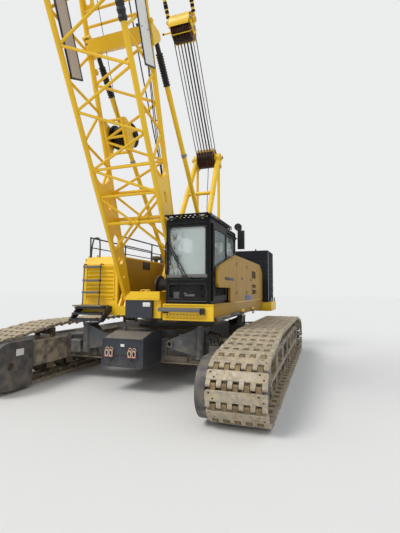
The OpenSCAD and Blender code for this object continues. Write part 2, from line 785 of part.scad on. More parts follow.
// Outline of a foot plate between its eye and the notch at its upper end
module foot_plate() {
  half = butt_half(plate_top) + 40;
  difference() {
    union() {
      circle(r = 130, $fn = 64);
      polygon([[-110, 0], [110, 0], [half, plate_top], [-half, plate_top]]);
    }
    translate([0, plate_top - 20]) circle(r = 250, $fn = 64);
    for (z = [520, 900, 1330]) translate([0, z]) circle(r = z / 9, $fn = 32);
    for (z = [2060, 2240]) translate([20, z]) circle(r = 45, $fn = 32);
    translate([-25, 2060]) square([90, 180]);
  }
}

// Frame in the rear face and the stands of the small winch behind it
module winch_frame() {
  d = butt_half(winch_s);
  for (y = [-600, -175]) side_plate(y, y + 50)
    translate([-d - 40, winch_s - 350]) square([70, 700]);
  for (y = [-600, -125]) side_plate(y, y + 30) polygon([
    [10 - d, winch_s - 350], [10 - d, winch_s + 350], [-d - 60, winch_s + 350],
    [-d - winch_gap - 60, winch_s + 80], [-d - winch_gap - 60, winch_s - 80], [-d - 60, winch_s - 350]]);
  for (z = [winch_s - 320, winch_s, winch_s + 320])
    rod([-butt_half(z), -chord_y, z], [-butt_half(z), -150, z], lacing_dia, 8);
}

// Rear cross box that the backstops bear on, with their lugs
module cross_box() {
  d = butt_half(box_s);
  translate([-d - 60, 40 - chord_y, box_s - 125]) cube([150, chord_w - 80, 250]);
  for (s = [-1, 1], y = [-72, 54])
    side_plate(s * backstop_y + y, s * backstop_y + y + 18) union() {
      translate([-d - stop_offset, box_s]) circle(r = 100, $fn = 48);
      polygon([[-d - stop_offset, box_s + 100], [-d - stop_offset, box_s - 100],
               [20 - d, box_s - 220], [20 - d, box_s + 220]]);
    }
  for (s = [-1, 1]) axle_y(-d, box_s + 190, s * backstop_y - 72, s * backstop_y + 72, 36);
}

// Rung across the front or the rear face of the butt
module rung(f, z, d) {
  rod([f * butt_half(z), -chord_y, z], [f * butt_half(z), chord_y, z], d, 8);
}

module boom_butt() {
  lace_z0 = 2310;
  lace_z1 = 6032;
  low_rung = 1750;
  second_rung = 2840;
  slot_plate_s = 5700;
  color(yellow) place_boom() difference() {
    union() {
      chords(950, butt_length - 45, chord_y, chord_y, butt_half(950), butt_half(butt_length - 45));
      for (f = [-1, 1], s = [-1, 1]) chord_joint(f * (chord_d / 2 - 3), s * chord_y, butt_length - 45);
      lattice(lace_z0, lace_z1, chord_y, chord_y, butt_half(lace_z0), butt_half(lace_z1), 7, 5);
      for (f = [-1, 1]) {
        rung(f, second_rung, lacing_dia);
        rung(f, low_rung, 76);
        // Braces that meet in the middle of the lowest rung
        for (s = [-1, 1], z = [1130, lace_z0])
          rod([f * butt_half(z), s * chord_y, z], [f * butt_half(low_rung), 0, low_rung], lacing_dia, 8);
      }
      for (z = [5440, 5700]) rung(-1, z, lacing_dia);
      // Slotted plate in the rear face
      translate([-butt_half(slot_plate_s + 250) - 10, -chord_y, slot_plate_s])
        rotate([90, 0, 90]) linear_extrude(20) difference() {
          polygon([[30, 0], [250, 0], [250, 450], [210, 500], [30, 500]]);
          for (z = [150, 380]) translate([130, z]) circle(r = 50, $fn = 32);
          translate([80, 150]) square([100, 230]);
        }
      for (s = [-1, 1]) side_plate(s * chord_y - 40, s * chord_y + 40) foot_plate();
      winch_frame();
      cross_box();
    }
    rotate([90, 0, 0]) cylinder(h = 3000, r = foot_pin_r + 0.3, center = true, $fn = 48);
  }
}

module boom_insert(z0) {
  color(yellow) place_boom() {
    chords(z0, z0 + insert_length, chord_y, chord_y, chord_d / 2, chord_d / 2);
    lattice(z0 + 130, z0 + insert_length - 130, chord_y, chord_y, chord_d / 2, chord_d / 2,
            bays, bays);
    for (f = [-1, 1], s = [-1, 1], z = [z0 + 45, z0 + insert_length - 45])
      chord_joint(f * chord_d / 2, s * chord_y, z);
  }
}

head_z0 = butt_length + 2 * insert_length;
head_y = 330;
head_d = 250;
head_top = boom_length - 900;
shaft_n = 700;

module boom_head() {
  color(yellow) place_boom() union() {
    chords(head_z0 + 45, head_top, chord_y - 3, head_y, chord_d / 2 - 3, head_d);
    lattice(head_z0 + 130, head_top - 100, chord_y - 5, head_y + 5, chord_d / 2 - 5, head_d + 5,
            bays, bays);
    for (f = [-1, 1], s = [-1, 1]) chord_joint(f * chord_d / 2, s * chord_y, head_z0 + 45);
    difference() {
      for (s = [-1, 1]) side_plate(s * head_y - 25, s * head_y + 25)
        polygon([[-head_d - 60, head_top - 500], [head_d + 50, head_top - 500],
                 [shaft_n + 150, boom_length - 260],
                 [shaft_n + 150, boom_length + 120], [shaft_n - 120, boom_length + 160],
                 [-head_d - 40, boom_length - 300]]);
      axle_hole();
      translate([450, 0, boom_length - 500]) rotate([90, 0, 0]) cylinder(h = 2000, r = 35, center = true, $fn = 48);
    }
    for (x = [-120, 160]) box(x, x + 80, -head_y, head_y, head_top - 300, head_top - 200);
    mirrored_y() axle_y(-head_d - 10, pendant_s, head_y + 20, head_y + 190, 45);
  }
}

pendant_s = boom_length - 900;

module axle_hole() {
  translate([shaft_n, 0, boom_length]) rotate([90, 0, 0]) cylinder(h = 2000, r = 60, center = true, $fn = 48);
}

module head_sheaves() {
  color(rust) place_boom() translate([shaft_n, 0, boom_length])
    sheave_stack(4, sheave_r, 66, 30, 60, head_y + 60);
}

module boom_winch() {
  color(black) place_boom() translate([-butt_half(winch_s) - winch_gap, winch_y, winch_s]) union() {
    axle_y(0, 0, -190, 190, 140, 48);
    for (k = [-1, 1]) axle_y(0, 0, k * 185 - 15, k * 185 + 15, 245, 64);
    axle_y(0, 0, -240, 205, 60);
  }
}

module boom_walkway() {
  z0 = butt_length + 200;
  x = (lacing_dia - chord_d) / 2 + 0.3;
  color(slate) place_boom()
    box(x, x + 40, -chord_y + 90, -chord_y + 430, z0, z0 + 2 * insert_length - 400);
}

// Luffing ropes, spreader and pendants, drawn along the line from the gantry to the boom head

function boom_point(n, s) = [foot_x + s * cos(boom_angle) + n * sin(boom_angle),
                             foot_z + s * sin(boom_angle) - n * cos(boom_angle)];
pendant_pin = boom_point(-head_d - 10, pendant_s);
line_angle = atan2(pendant_pin[1] - gz, pendant_pin[0] - gx);
line_length = norm([pendant_pin[0] - gx, pendant_pin[1] - gz]);
pendant_y = head_y + 250;
spreader_y = 330;

module place_line() {
  translate([gx, 0, gz]) rotate([0, 90 - line_angle, 0]) children();
}

module rope_falls() {
  color(black) place_line() for (i = [0:bridle_sheaves - 1], s = [-1, 1])
    translate([s * sheave_r, (i - (bridle_sheaves - 1) / 2) * (bridle_w + bridle_gap), 0])
      cylinder(h = bridle_reach, d = rope_d, $fn = 8);
}

// Centre of each of the spreader's side plates
plate_y = 305;
pendant_lift = 200;

module spreader() {
  color(yellow) place_line() translate([0, 0, bridle_reach]) {
    difference() {
      union() {
        for (s = [-1, 1]) side_plate(s * plate_y - 15, s * plate_y + 15) union() {
          circle(r = 150, $fn = 48);
          translate([0, pendant_lift]) circle(r = 110, $fn = 48);
          translate([240, 250]) circle(r = 65, $fn = 32);
          polygon([[-110, pendant_lift], [-150, 0], [150, 0], [300, 225], [240, 315], [0, pendant_lift + 110]]);
        }
        side_plate(16 - plate_y, plate_y - 16) difference() {
          circle(r = 400, $fn = 64);
          circle(r = 370, $fn = 64);
          translate([-500, -500]) square([1000, 640]);
        }
        for (s = [-1, 1], h = [38, 142]) side_plate(s * plate_y - 15, s * plate_y + 15) rotate(h)
          translate([0, -25]) square([399, 50]);
        axle_y(240, 250, -plate_y - 30, plate_y + 30, 34, 24);
        mirrored_y() axle_y(0, pendant_lift, plate_y, spreader_y + 15, 45);
      }
      rotate([90, 0, 0]) cylinder(h = 2000, r = 45, center = true, $fn = 48);
    }
    axle_y(110, 20, -610, 15 - plate_y, 22, 16);
  }
}

module spreader_sheaves() {
  color(rust) place_line() translate([0, 0, bridle_reach]) 
    sheave_stack(bridle_sheaves, sheave_r, bridle_w, bridle_gap, 45, plate_y + 20);
}

module pendants() {
  y0 = spreader_y + 40;
  p0 = bridle_reach + pendant_lift;
  n = 3;
  color(yellow) place_line() mirrored_y() for (i = [0:n - 1]) {
    a = [0, y0 + (pendant_y - y0) * i / n, p0 + (line_length - p0) * i / n];
    b = [0, y0 + (pendant_y - y0) * (i + 1) / n, p0 + (line_length - p0) * (i + 1) / n];
    rod(a, b, 46, 8);
    for (q = [a, b]) translate(q) rotate([90, 0, 0]) cylinder(h = 50, r = 85, center = true, $fn = 32);
  }
}

// Backstops between the deck and the boom's rear cross box

backstop_eye = boom_point(-butt_half(box_s) - stop_offset, box_s);
stop_angle = atan2(backstop_eye[1] - backstop_z, backstop_eye[0] - backstop_x);
stop_length = norm([backstop_eye[0] - backstop_x, backstop_eye[1] - backstop_z]);
stop_tube = 5360;
stop_tube_dia = 106;
stop_rod_dia = 76;
// Bare rod between the bellows and the eye
stop_neck = 280;
bellows_length = 590;
bellows_folds = 13;

module place_backstop() {
  translate([backstop_x, backstop_y, backstop_z]) rotate([0, 90 - stop_angle, 0]) children();
}

module backstop_tube() {
  color(yellow) place_backstop() difference() {
    union() {
      translate([0, 0, 130]) cylinder(h = stop_tube - 130, d = stop_tube_dia, $fn = 32);
      translate([0, 0, 40]) cylinder(h = 100, d = 58, $fn = 32);
      rotate([90, 0, 0]) cylinder(h = 60, r = 70, center = true, $fn = 32);
    }
    rotate([90, 0, 0]) cylinder(h = 200, r = 30.3, center = true, $fn = 48);
    translate([0, 0, 500]) cylinder(h = stop_tube - 580, d = stop_rod_dia + 12, $fn = 32);
    translate([0, 0, 500]) cylinder(h = stop_tube, d = stop_rod_dia + 0.6, $fn = 32);
  }
}

module backstop_rod() {
  z0 = stop_length - stop_neck - bellows_length;
  fold = bellows_length / bellows_folds;
  bore = stop_tube_dia + 11;
  color(black) place_backstop() union() {
    translate([0, 0, 1700]) cylinder(h = stop_length - 1760, d = stop_rod_dia, $fn = 32);
    difference() {
      union() {
        for (i = [0:bellows_folds - 1]) translate([0, 0, z0 + i * fold])
          cylinder(h = fold / 2, d = bore + 22, $fn = 32);
        translate([0, 0, z0]) cylinder(h = bellows_length, d = bore + 8, $fn = 32);
      }
      translate([0, 0, z0 - 1]) cylinder(h = bellows_length - 11, d = bore, $fn = 32);
    }
    translate([0, 0, stop_length]) rotate([90, 0, 0]) cylinder(h = 44, r = 70, center = true, $fn = 32);
  }
}

// Hook block on the main hoist

shaft_at = boom_point(shaft_n, boom_length);
block_drop = 2600;

module place_block() {
  translate([shaft_at[0], 0, shaft_at[1] - block_drop]) children();
}

module hook_rope() {
  color(black) place_block() for (y = [-48, 48], s = [-1, 1])
    translate([s * sheave_r, y, 0]) cylinder(h = block_drop, d = rope_d, $fn = 8);
}

module hook_block() {
  color(yellow) place_block() difference() {
    union() {
      for (s = [-1, 1]) side_plate(s * 150 - 20, s * 150 + 20) union() {
        circle(r = 340, $fn = 48);
        polygon([[-300, -160], [300, -160], [140, -560], [-140, -560]]);
      }
      box(-110, 110, -130, 130, -540, -400);
    }
    rotate([90, 0, 0]) cylinder(h = 400, r = 50, center = true, $fn = 48);
    translate([0, 0, -700]) cylinder(h = 400, r = 40.3, $fn = 48);
  }
  color(rust) place_block() sheave_stack(2, sheave_r, 66, 30, 50, 170);
}

module hook() {
  color(slate) place_block() {
    translate([0, 0, -900]) cylinder(h = 530, r = 40, $fn = 48);
    translate([0, 0, -399.7]) cylinder(h = 60, r = 75, $fn = 48);
    translate([0, 0, -1080]) rotate([90, 0, 0]) rotate([0, 0, 90]) rotate_extrude(angle = -250, $fn = 48)
      translate([140, 0]) circle(r = 48, $fn = 24);
    translate([0, 0, -905]) sphere(r = 62, $fn = 32);
  }
}

carbody();
carbody_weight();  // carbody_weight_front
mirror([1, 0, 0]) carbody_weight();  // carbody_weight_rear
track_frame();  // track_frame_left
mirror([0, 1, 0]) track_frame();  // track_frame_right
track();  // track_left
mirror([0, 1, 0]) track();  // track_right
color(steel) mirrored_y() idler();  // idlers
color(steel) mirrored_y() sprocket();  // sprockets
color(steel) mirrored_y() lower_roller_set();  // lower_rollers
color(steel) mirrored_y() carrier_roller_set();  // carrier_rollers
slew_bearing();
jack_arm();  // jack_arm_front_left
mirror([0, 1, 0]) jack_arm();  // jack_arm_front_right
mirror([1, 0, 0]) jack_arm();  // jack_arm_rear_left
rotate([0, 0, 180]) jack_arm();  // jack_arm_rear_right
slewing_frame();
cab_shell();
cab_glass();
cab_guard();
cab_door();
cab_door_glass();
operator_seat();
control_console();
mirrors();
left_housing();
right_housing();
tool_box();
access_ladder();
handrails();
front_step();
counterweight();
gantry_front_legs();
gantry_rear_legs();
gantry_sheaves();
winch(420, 1960, 320, 190, 320);  // main_winch
winch(-700, 1960, 320, 190, 320);  // aux_winch
winch(-2170, 1960, 320, 190, 320);  // luffing_winch
boom_butt();
boom_insert(butt_length);  // boom_insert_lower
boom_insert(butt_length + insert_length);  // boom_insert_upper
boom_head();
head_sheaves();
boom_winch();
boom_walkway();
rope_falls();
spreader();
spreader_sheaves();
pendants();
backstop_tube();  // backstop_tube_left
mirror([0, 1, 0]) backstop_tube();  // backstop_tube_right
backstop_rod();  // backstop_rod_left
mirror([0, 1, 0]) backstop_rod();  // backstop_rod_right
hook_block();
hook_rope();
hook();
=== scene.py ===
"""Looks of the crawler crane: the finishes of its CAD pieces and the detail that dresses them.

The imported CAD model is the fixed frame. Each sub-assembly below is a class that holds its sizes in
metres, builds its own meshes in the frame of the CAD model and says which body they ride on.
X runs forward, Y to the operator's left and Z up; the origin is on the ground under the slewing axis.
"""

from __future__ import annotations

import itertools
import logging
import math
from dataclasses import dataclass
from enum import Enum
from typing import Callable, Iterable, Sequence, Union

import bmesh
import bpy
from mathutils import Matrix, Vector


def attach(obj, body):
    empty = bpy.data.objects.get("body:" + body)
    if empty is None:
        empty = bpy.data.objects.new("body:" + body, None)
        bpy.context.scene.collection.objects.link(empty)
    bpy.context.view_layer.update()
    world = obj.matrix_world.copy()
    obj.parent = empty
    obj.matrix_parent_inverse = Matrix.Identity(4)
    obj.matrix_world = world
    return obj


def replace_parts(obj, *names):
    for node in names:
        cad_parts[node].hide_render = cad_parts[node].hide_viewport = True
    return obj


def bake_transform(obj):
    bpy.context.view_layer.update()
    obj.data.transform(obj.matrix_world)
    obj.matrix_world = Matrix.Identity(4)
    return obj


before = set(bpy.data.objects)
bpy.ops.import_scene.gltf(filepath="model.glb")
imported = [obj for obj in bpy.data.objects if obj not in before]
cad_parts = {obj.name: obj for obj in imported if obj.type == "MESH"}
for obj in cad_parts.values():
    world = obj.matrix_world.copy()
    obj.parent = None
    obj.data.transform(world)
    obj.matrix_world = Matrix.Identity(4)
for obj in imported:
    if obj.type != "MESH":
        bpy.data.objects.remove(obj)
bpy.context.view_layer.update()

log = logging.getLogger("crane")

Point = Union[Vector, Sequence[float]]
Colour = tuple[float, float, float]


# Shader maths


class Value:
    """A shader socket whose arithmetic adds Math nodes to its tree."""

    def __init__(self, graph: Graph, socket: bpy.types.NodeSocket) -> None:
        """Keeps the socket and the graph that it belongs to."""
        self.graph = graph
        self.socket = socket

    def _math(self, operation: str, first: object, second: object) -> Value:
        """Adds one Math node that works on two operands."""
        return self.graph.node("ShaderNodeMath", {"operation": operation}, {0: first, 1: second})

    def __add__(self, other: object) -> Value:
        """Sum."""
        return self._math("ADD", self, other)

    __radd__ = __add__

    def __sub__(self, other: object) -> Value:
        """Difference."""
        return self._math("SUBTRACT", self, other)

    def __rsub__(self, other: object) -> Value:
        """Difference from a plain number."""
        return self._math("SUBTRACT", other, self)

    def __mul__(self, other: object) -> Value:
        """Product."""
        return self._math("MULTIPLY", self, other)

    __rmul__ = __mul__

    def smooth(self, low: float, high: float) -> Value:
        """A soft step from 0 at low to 1 at high."""
        settings = {"interpolation_type": "SMOOTHSTEP"}
        return self.graph.node("ShaderNodeMapRange", settings, {0: self, 1: low, 2: high})

    def clamped(self) -> Value:
        """The value held between 0 and 1."""
        return self.graph.node("ShaderNodeClamp", {}, {0: self})


class Graph:
    """The node tree of one material, with a Principled shader at its end."""

    def __init__(self, name: str) -> None:
        """Makes the material and its shader.

        Args:
            name: Name of the material.
        """
        self.material = bpy.data.materials.new(name)
        self.material.use_nodes = True
        self.tree = self.material.node_tree
        self.shader = self.tree.nodes["Principled BSDF"]

    def put(self, target: bpy.types.NodeSocket, value: object) -> None:
        """Links a socket to a value, or writes a plain number or colour into it.

        Args:
            target: Socket of a node.
            value: A value to link, or a plain number or colour.
        """
        if isinstance(value, Value):
            self.tree.links.new(value.socket, target)
        elif isinstance(value, (tuple, list)) and len(value) == 3 and target.type == "RGBA":
            target.default_value = (*value, 1.0)
        else:
            target.default_value = value

    def node(self, kind: str, settings: dict[str, object], inputs: dict[object, object],
             output: object = 0) -> Value:
        """Adds a node.

        Args:
            kind: Type name of the node.
            settings: Attributes of the node, set before its sockets.
            inputs: Values or links by socket index or name.
            output: Index or name of the socket that is handed back.

        Returns:
            The chosen output as a value.
        """
        made = self.tree.nodes.new(kind)
        for key, setting in settings.items():
            setattr(made, key, setting)
        for key, value in inputs.items():
            self.put(made.inputs[key], value)
        return Value(self, made.outputs[output])

    def place(self) -> Value:
        """Object coordinates."""
        return self.node("ShaderNodeTexCoord", {}, {}, "Object")

    def stretched(self, scale: Point) -> Value:
        """Object coordinates with each axis scaled by its own factor."""
        return self.node("ShaderNodeMapping", {}, {"Vector": self.place(), "Scale": tuple(scale)})

    def noise(self, scale: float, detail: float = 4.0, where: Value | None = None,
              roughness: float = 0.55) -> Value:
        """Noise from 0 to 1 over the object.

        Args:
            scale: Patches per metre.
            detail: Octaves.
            where: Coordinates, or the object's own where it is left out.
            roughness: Share that each finer octave keeps.

        Returns:
            The noise value.
        """
        inputs = {"Vector": where or self.place(), "Scale": scale, "Detail": detail, "Roughness": roughness}
        return self.node("ShaderNodeTexNoise", {}, inputs, 0)

    def mix(self, share: object, low: object, high: object) -> Value:
        """Mixes two colours by a share from 0 to 1."""
        return self.node("ShaderNodeMix", {"data_type": "RGBA"}, {0: share, 6: low, 7: high}, 2)

    def facing(self, axis: int) -> Value:
        """How far the surface faces along an axis, from -1 to 1."""
        normal = self.node("ShaderNodeNewGeometry", {}, {}, "Normal")
        return self.node("ShaderNodeSeparateXYZ", {}, {0: normal}, axis)

    def along(self, axis: int) -> Value:
        """Distance along an axis from the origin in metres."""
        return self.node("ShaderNodeSeparateXYZ", {}, {0: self.place()}, axis)

    def edge(self, radius: float) -> Value:
        """0 on a flat face, rising towards an edge.

        Args:
            radius: Width of the edge zone in metres.

        Returns:
            The edge value.
        """
        true = self.node("ShaderNodeNewGeometry", {}, {}, "Normal")
        soft = self.node("ShaderNodeBevel", {"samples": 4}, {"Radius": radius}, 0)
        along = self.node("ShaderNodeVectorMath", {"operation": "DOT_PRODUCT"}, {0: true, 1: soft}, "Value")
        return 1.0 - along

    def bump(self, height: Value, strength: float, distance: float) -> None:
        """Feeds a height to the shader's normal."""
        inputs = {"Strength": strength, "Distance": distance, "Height": height}
        self.put(self.shader.inputs["Normal"], self.node("ShaderNodeBump", {}, inputs, 0))

    def finish(self, colour: object, roughness: object, metallic: object = 0.0) -> bpy.types.Material:
        """Feeds the shader's main sockets and hands back the material.

        Args:
            colour: Base colour.
            roughness: Roughness from 0 to 1.
            metallic: Share of metal from 0 to 1.

        Returns:
            The material.
        """
        self.put(self.shader.inputs["Base Color"], colour)
        self.put(self.shader.inputs["Roughness"], roughness)
        self.put(self.shader.inputs["Metallic"], metallic)
        return self.material


def linear(colour: Colour, share: float = 1.0) -> Colour:
    """A share of a screen colour from 0 to 1, as the linear values that a shader takes."""
    return tuple(share * (c / 12.92 if c <= 0.04045 else ((c + 0.055) / 1.055) ** 2.4) for c in colour)


# Finishes

DUST = linear((0.64, 0.58, 0.49))
MUD = linear((0.44, 0.39, 0.32))
PRIMER = linear((0.30, 0.20, 0.15))
MADE: dict[object, bpy.types.Material] = {}


@dataclass(frozen=True)
class Finish:
    """A surface finish that makes its material once."""

    name: str
    colour: Colour
    slot: str

    def build(self) -> bpy.types.Material:
        """Makes the material."""
        raise NotImplementedError

    def material(self) -> bpy.types.Material:
        """The finish's one material.

        Returns:
            The material.
        """
        if self not in MADE:
            MADE[self] = self.build()
        return MADE[self]


@dataclass(frozen=True)
class Paint(Finish):
    """Sprayed paint with dust on what faces up, rain streaks, mud near the ground and worn edges."""

    roughness: float = 0.42
    dust: float = 0.35
    streaks: float = 0.25
    wear: float = 0.35
    mud_height: float = 0.0
    mud: float = 0.6
    grain: float = 6.0
    fading: float = 0.86
    clear_coat: float = 0.15
    specular: float = 0.5
    clean_beyond: float = 0.0
    bare: Colour = (0.36, 0.33, 0.30)

    def build(self) -> bpy.types.Material:
        """Makes the material.

        Returns:
            The material.
        """
        g = Graph(self.name)
        patches = g.noise(0.8, 3.0)
        grime = g.noise(self.grain, 6.0)
        fine = g.noise(45.0, 3.0)
        colour = g.mix(patches.smooth(0.35, 0.75), linear(self.colour), linear(self.colour, self.fading))
        runs = g.noise(1.0, 5.0, g.stretched((7.0, 7.0, 0.45)), 0.7).smooth(0.52, 0.78)
        side = 1.0 - g.facing(2).smooth(0.1, 0.6)
        colour = g.mix(runs * side * self.streaks, colour, MUD)
        settled = g.facing(2).smooth(0.25, 0.9) * grime.smooth(0.25, 0.7)
        spread = (settled + grime.smooth(0.45, 0.85) * 0.35) * self.dust
        if self.mud_height > 0.0:
            low = 1.0 - g.along(2).smooth(0.0, self.mud_height)
            spread = spread + low * grime.smooth(0.22, 0.74) * self.mud
        if self.clean_beyond > 0.0:
            reach = g.node("ShaderNodeMath", {"operation": "ABSOLUTE"}, {0: g.along(0)})
            spread = spread * (1.0 - reach.smooth(self.clean_beyond, self.clean_beyond + 0.2) * 0.75)
        spread = spread.clamped()
        colour = g.mix(spread, colour, DUST)
        chips = (g.edge(0.012) * 3.2 * grime.smooth(0.35, 0.6)).smooth(0.18, 0.5) * self.wear
        scuffs = g.noise(22.0, 5.0, None, 0.75).smooth(0.70, 0.78) * self.wear * 0.5
        worn = (chips + scuffs).clamped()
        colour = g.mix(worn, colour, g.mix(fine.smooth(0.4, 0.6), linear(self.bare), PRIMER))
        rough = (self.roughness + 0.16 * (fine - 0.5) + 0.4 * spread + 0.15 * worn).clamped()
        g.bump(fine * 0.5 + grime + worn * -0.6, 0.18, 0.004)
        g.shader.inputs["Specular IOR Level"].default_value = self.specular
        g.shader.inputs["Coat Weight"].default_value = self.clear_coat
        g.shader.inputs["Coat Roughness"].default_value = 0.18
        return g.finish(colour, rough)


@dataclass(frozen=True)
class CastSteel(Finish):
    """Worn cast steel with dried soil, as on track shoes and rollers."""

    soil: Colour = (0.50, 0.43, 0.34)
    cover: float = 0.6
    rust: float = 0.3

    def build(self) -> bpy.types.Material:
        """Makes the material.

        Returns:
            The material.
        """
        g = Graph(self.name)
        broad = g.noise(2.3, 4.0)
        grain = g.noise(17.0, 7.0, None, 0.7)
        fine = g.noise(90.0, 3.0)
        colour = g.mix(broad.smooth(0.35, 0.7), linear(self.colour), linear(self.colour, 0.6))
        colour = g.mix(g.noise(5.0, 5.0).smooth(0.5, 0.7) * self.rust, colour, linear((0.55, 0.40, 0.22)))
        soil = (grain.smooth(0.36, 0.62) * self.cover + g.facing(2).smooth(0.4, 1.0) * 0.2).clamped()
        clods = g.noise(7.5, 6.0, None, 0.72).smooth(0.44, 0.60)
        colour = g.mix(soil, colour, g.mix(clods, linear(self.soil), linear(self.soil, 0.62)))
        bright = (g.edge(0.010) * 3.0).smooth(0.15, 0.6) * 0.55 * broad.smooth(0.3, 0.6)
        colour = g.mix(bright, colour, linear((0.72, 0.69, 0.64)))
        g.bump(grain + fine * 0.35, 0.55, 0.006)
        rough = (0.55 + 0.35 * soil - 0.2 * bright).clamped()
        return g.finish(colour, rough, (0.55 - 0.5 * soil).clamped())


@dataclass(frozen=True)
class Metal(Finish):
    """Plain machined, plated or greased metal."""

    roughness: float = 0.35
    metallic: float = 0.9
    grime: float = 0.4

    def build(self) -> bpy.types.Material:
        """Makes the material.

        Returns:
            The material.
        """
        g = Graph(self.name)
        stain = g.noise(12.0, 5.0).smooth(0.42, 0.75) * self.grime
        colour = g.mix(stain, linear(self.colour), linear((0.16, 0.12, 0.09)))
        g.bump(g.noise(70.0, 3.0), 0.12, 0.003)
        return g.finish(colour, (self.roughness + 0.35 * stain).clamped(), self.metallic)


@dataclass(frozen=True)
class Moulded(Finish):
    """Rubber or moulded plastic with a fine grain and a little dust."""

    roughness: float = 0.7
    dust: float = 0.2

    def build(self) -> bpy.types.Material:
        """Makes the material.

        Returns:
            The material.
        """
        g = Graph(self.name)
        grain = g.noise(140.0, 2.0)
        dust = (g.facing(2).smooth(0.2, 0.9) * 0.6 + g.noise(7.0, 5.0).smooth(0.5, 0.8) * 0.6) * self.dust
        colour = g.mix(dust.clamped(), linear(self.colour), DUST)
        g.bump(grain, 0.25, 0.002)
        return g.finish(colour, (self.roughness + 0.2 * dust).clamped())


@dataclass(frozen=True)
class Weave(Finish):
    """Woven seat cloth."""

    def build(self) -> bpy.types.Material:
        """Makes the material.

        Returns:
            The material.
        """
        g = Graph(self.name)
        threads = []
        for axis in ("X", "Y", "Z"):
            settings = {"wave_type": "BANDS", "bands_direction": axis, "wave_profile": "SIN"}
            threads.append(g.node("ShaderNodeTexWave", settings, {"Vector": g.place(), "Scale": 70.0}, 1))
        cloth = threads[0] * threads[1] + threads[1] * threads[2]
        faded = g.noise(3.0, 4.0).smooth(0.4, 0.8)
        base = linear(self.colour)
        colour = g.mix(faded * 0.5 + cloth * 0.2, base, tuple(min(1.0, 2.2 * c + 0.01) for c in base))
        g.bump(cloth, 0.4, 0.002)
        g.shader.inputs["Sheen Weight"].default_value = 0.4
        return g.finish(colour, 0.85)


@dataclass(frozen=True)
class Glass(Finish):
    """Window glass whose pale, faintly tinted colour paints the reflection of the sky, with a film of dust,
    painted shade on panes that face the machine's left and, where it is asked for, painted shade on panes low
    down and darker blotches towards the machine's right as painted reflections.
    """

    alpha: float = 0.3
    shade_below: float = 0.0
    shade: Colour = (0.035, 0.052, 0.050)
    specular: float = 0.5
    # Share of the colour kept on panes that face the machine's left; the rest is painted shade.
    side: float = 1.0
    reflections_to: float = 0.0

    def build(self) -> bpy.types.Material:
        """Makes the material.

        Returns:
            The material.
        """
        g = Graph(self.name)
        film = g.noise(2.2, 5.0).smooth(0.42, 0.8)
        smears = g.noise(1.0, 4.0, g.stretched((5.0, 5.0, 1.0)), 0.6).smooth(0.55, 0.8)
        # The pale colour paints the reflection of the sky; the film over it is dust.
        colour = g.mix(film * 0.5, linear(self.colour), linear((0.80, 0.79, 0.74)))
        # Panes that face the machine's left are darkened as painted shade.
        colour = g.mix(g.facing(1).smooth(0.3, 0.8), colour, linear(self.colour, self.side))
        # Below shade_below the panes take the painted shade colour, are less opaque and rougher.
        low = 1.0 - g.along(2).smooth(self.shade_below - 0.01, self.shade_below + 0.01)
        # Darker blotches towards the machine's right are painted reflections.
        reflection_blotches = g.noise(9.0, 6.0, g.stretched((1.0, 1.6, 0.8)), 0.7).smooth(0.46, 0.60)
        near = 1.0 - g.along(1).smooth(self.reflections_to - 0.28, self.reflections_to)
        colour = g.mix((reflection_blotches * 0.72 + 0.24) * near, colour, linear((0.28, 0.34, 0.33)))
        colour = g.mix(low, colour, linear(self.shade))
        alpha = (self.alpha + 0.10 * film + 0.06 * smears - low * 0.14).clamped()
        g.put(g.shader.inputs["Alpha"], alpha)
        g.shader.inputs["Specular IOR Level"].default_value = self.specular
        return g.finish(colour, (0.04 + 0.22 * film + 0.5 * low).clamped())


@dataclass(frozen=True)
class Strand(Finish):
    """Greased wire rope, with its strands laid along the piece's own UV map."""

    def build(self) -> bpy.types.Material:
        """Makes the material.

        Returns:
            The material.
        """
        g = Graph(self.name)
        uv = g.node("ShaderNodeTexCoord", {}, {}, "UV")
        turn = g.node("ShaderNodeSeparateXYZ", {}, {0: uv}, 0)
        along = g.node("ShaderNodeSeparateXYZ", {}, {0: uv}, 1)
        phase = (turn * 6.0 + along * 42.0) * math.tau
        ridge = g.node("ShaderNodeMath", {"operation": "SINE"}, {0: phase}) * 0.5 + 0.5
        rust = g.noise(3.0, 4.0).smooth(0.5, 0.8)
        # The grooves between the strands are darkened as painted shade.
        colour = g.mix(ridge, linear(self.colour, 0.35), linear(self.colour))
        colour = g.mix(rust * 0.35, colour, linear((0.34, 0.24, 0.17)))
        g.bump(ridge, 0.8, 0.004)
        return g.finish(colour, 0.5, 0.4)


@dataclass(frozen=True)
class Glow(Finish):
    """A lamp's lens, clear or coloured, with painted glints on its ribs."""

    def build(self) -> bpy.types.Material:
        """Makes the material.

        Returns:
            The material.
        """
        g = Graph(self.name)
        settings = {"wave_type": "BANDS", "bands_direction": "Y"}
        ribs = g.node("ShaderNodeTexWave", settings, {"Vector": g.place(), "Scale": 40.0}, 1)
        base = linear(self.colour)
        g.bump(ribs, 0.4, 0.002)
        # The ribs are lightened as painted glints.
        return g.finish(g.mix(ribs * 0.3, base, tuple(min(1.0, 1.25 * c) for c in base)), 0.12)


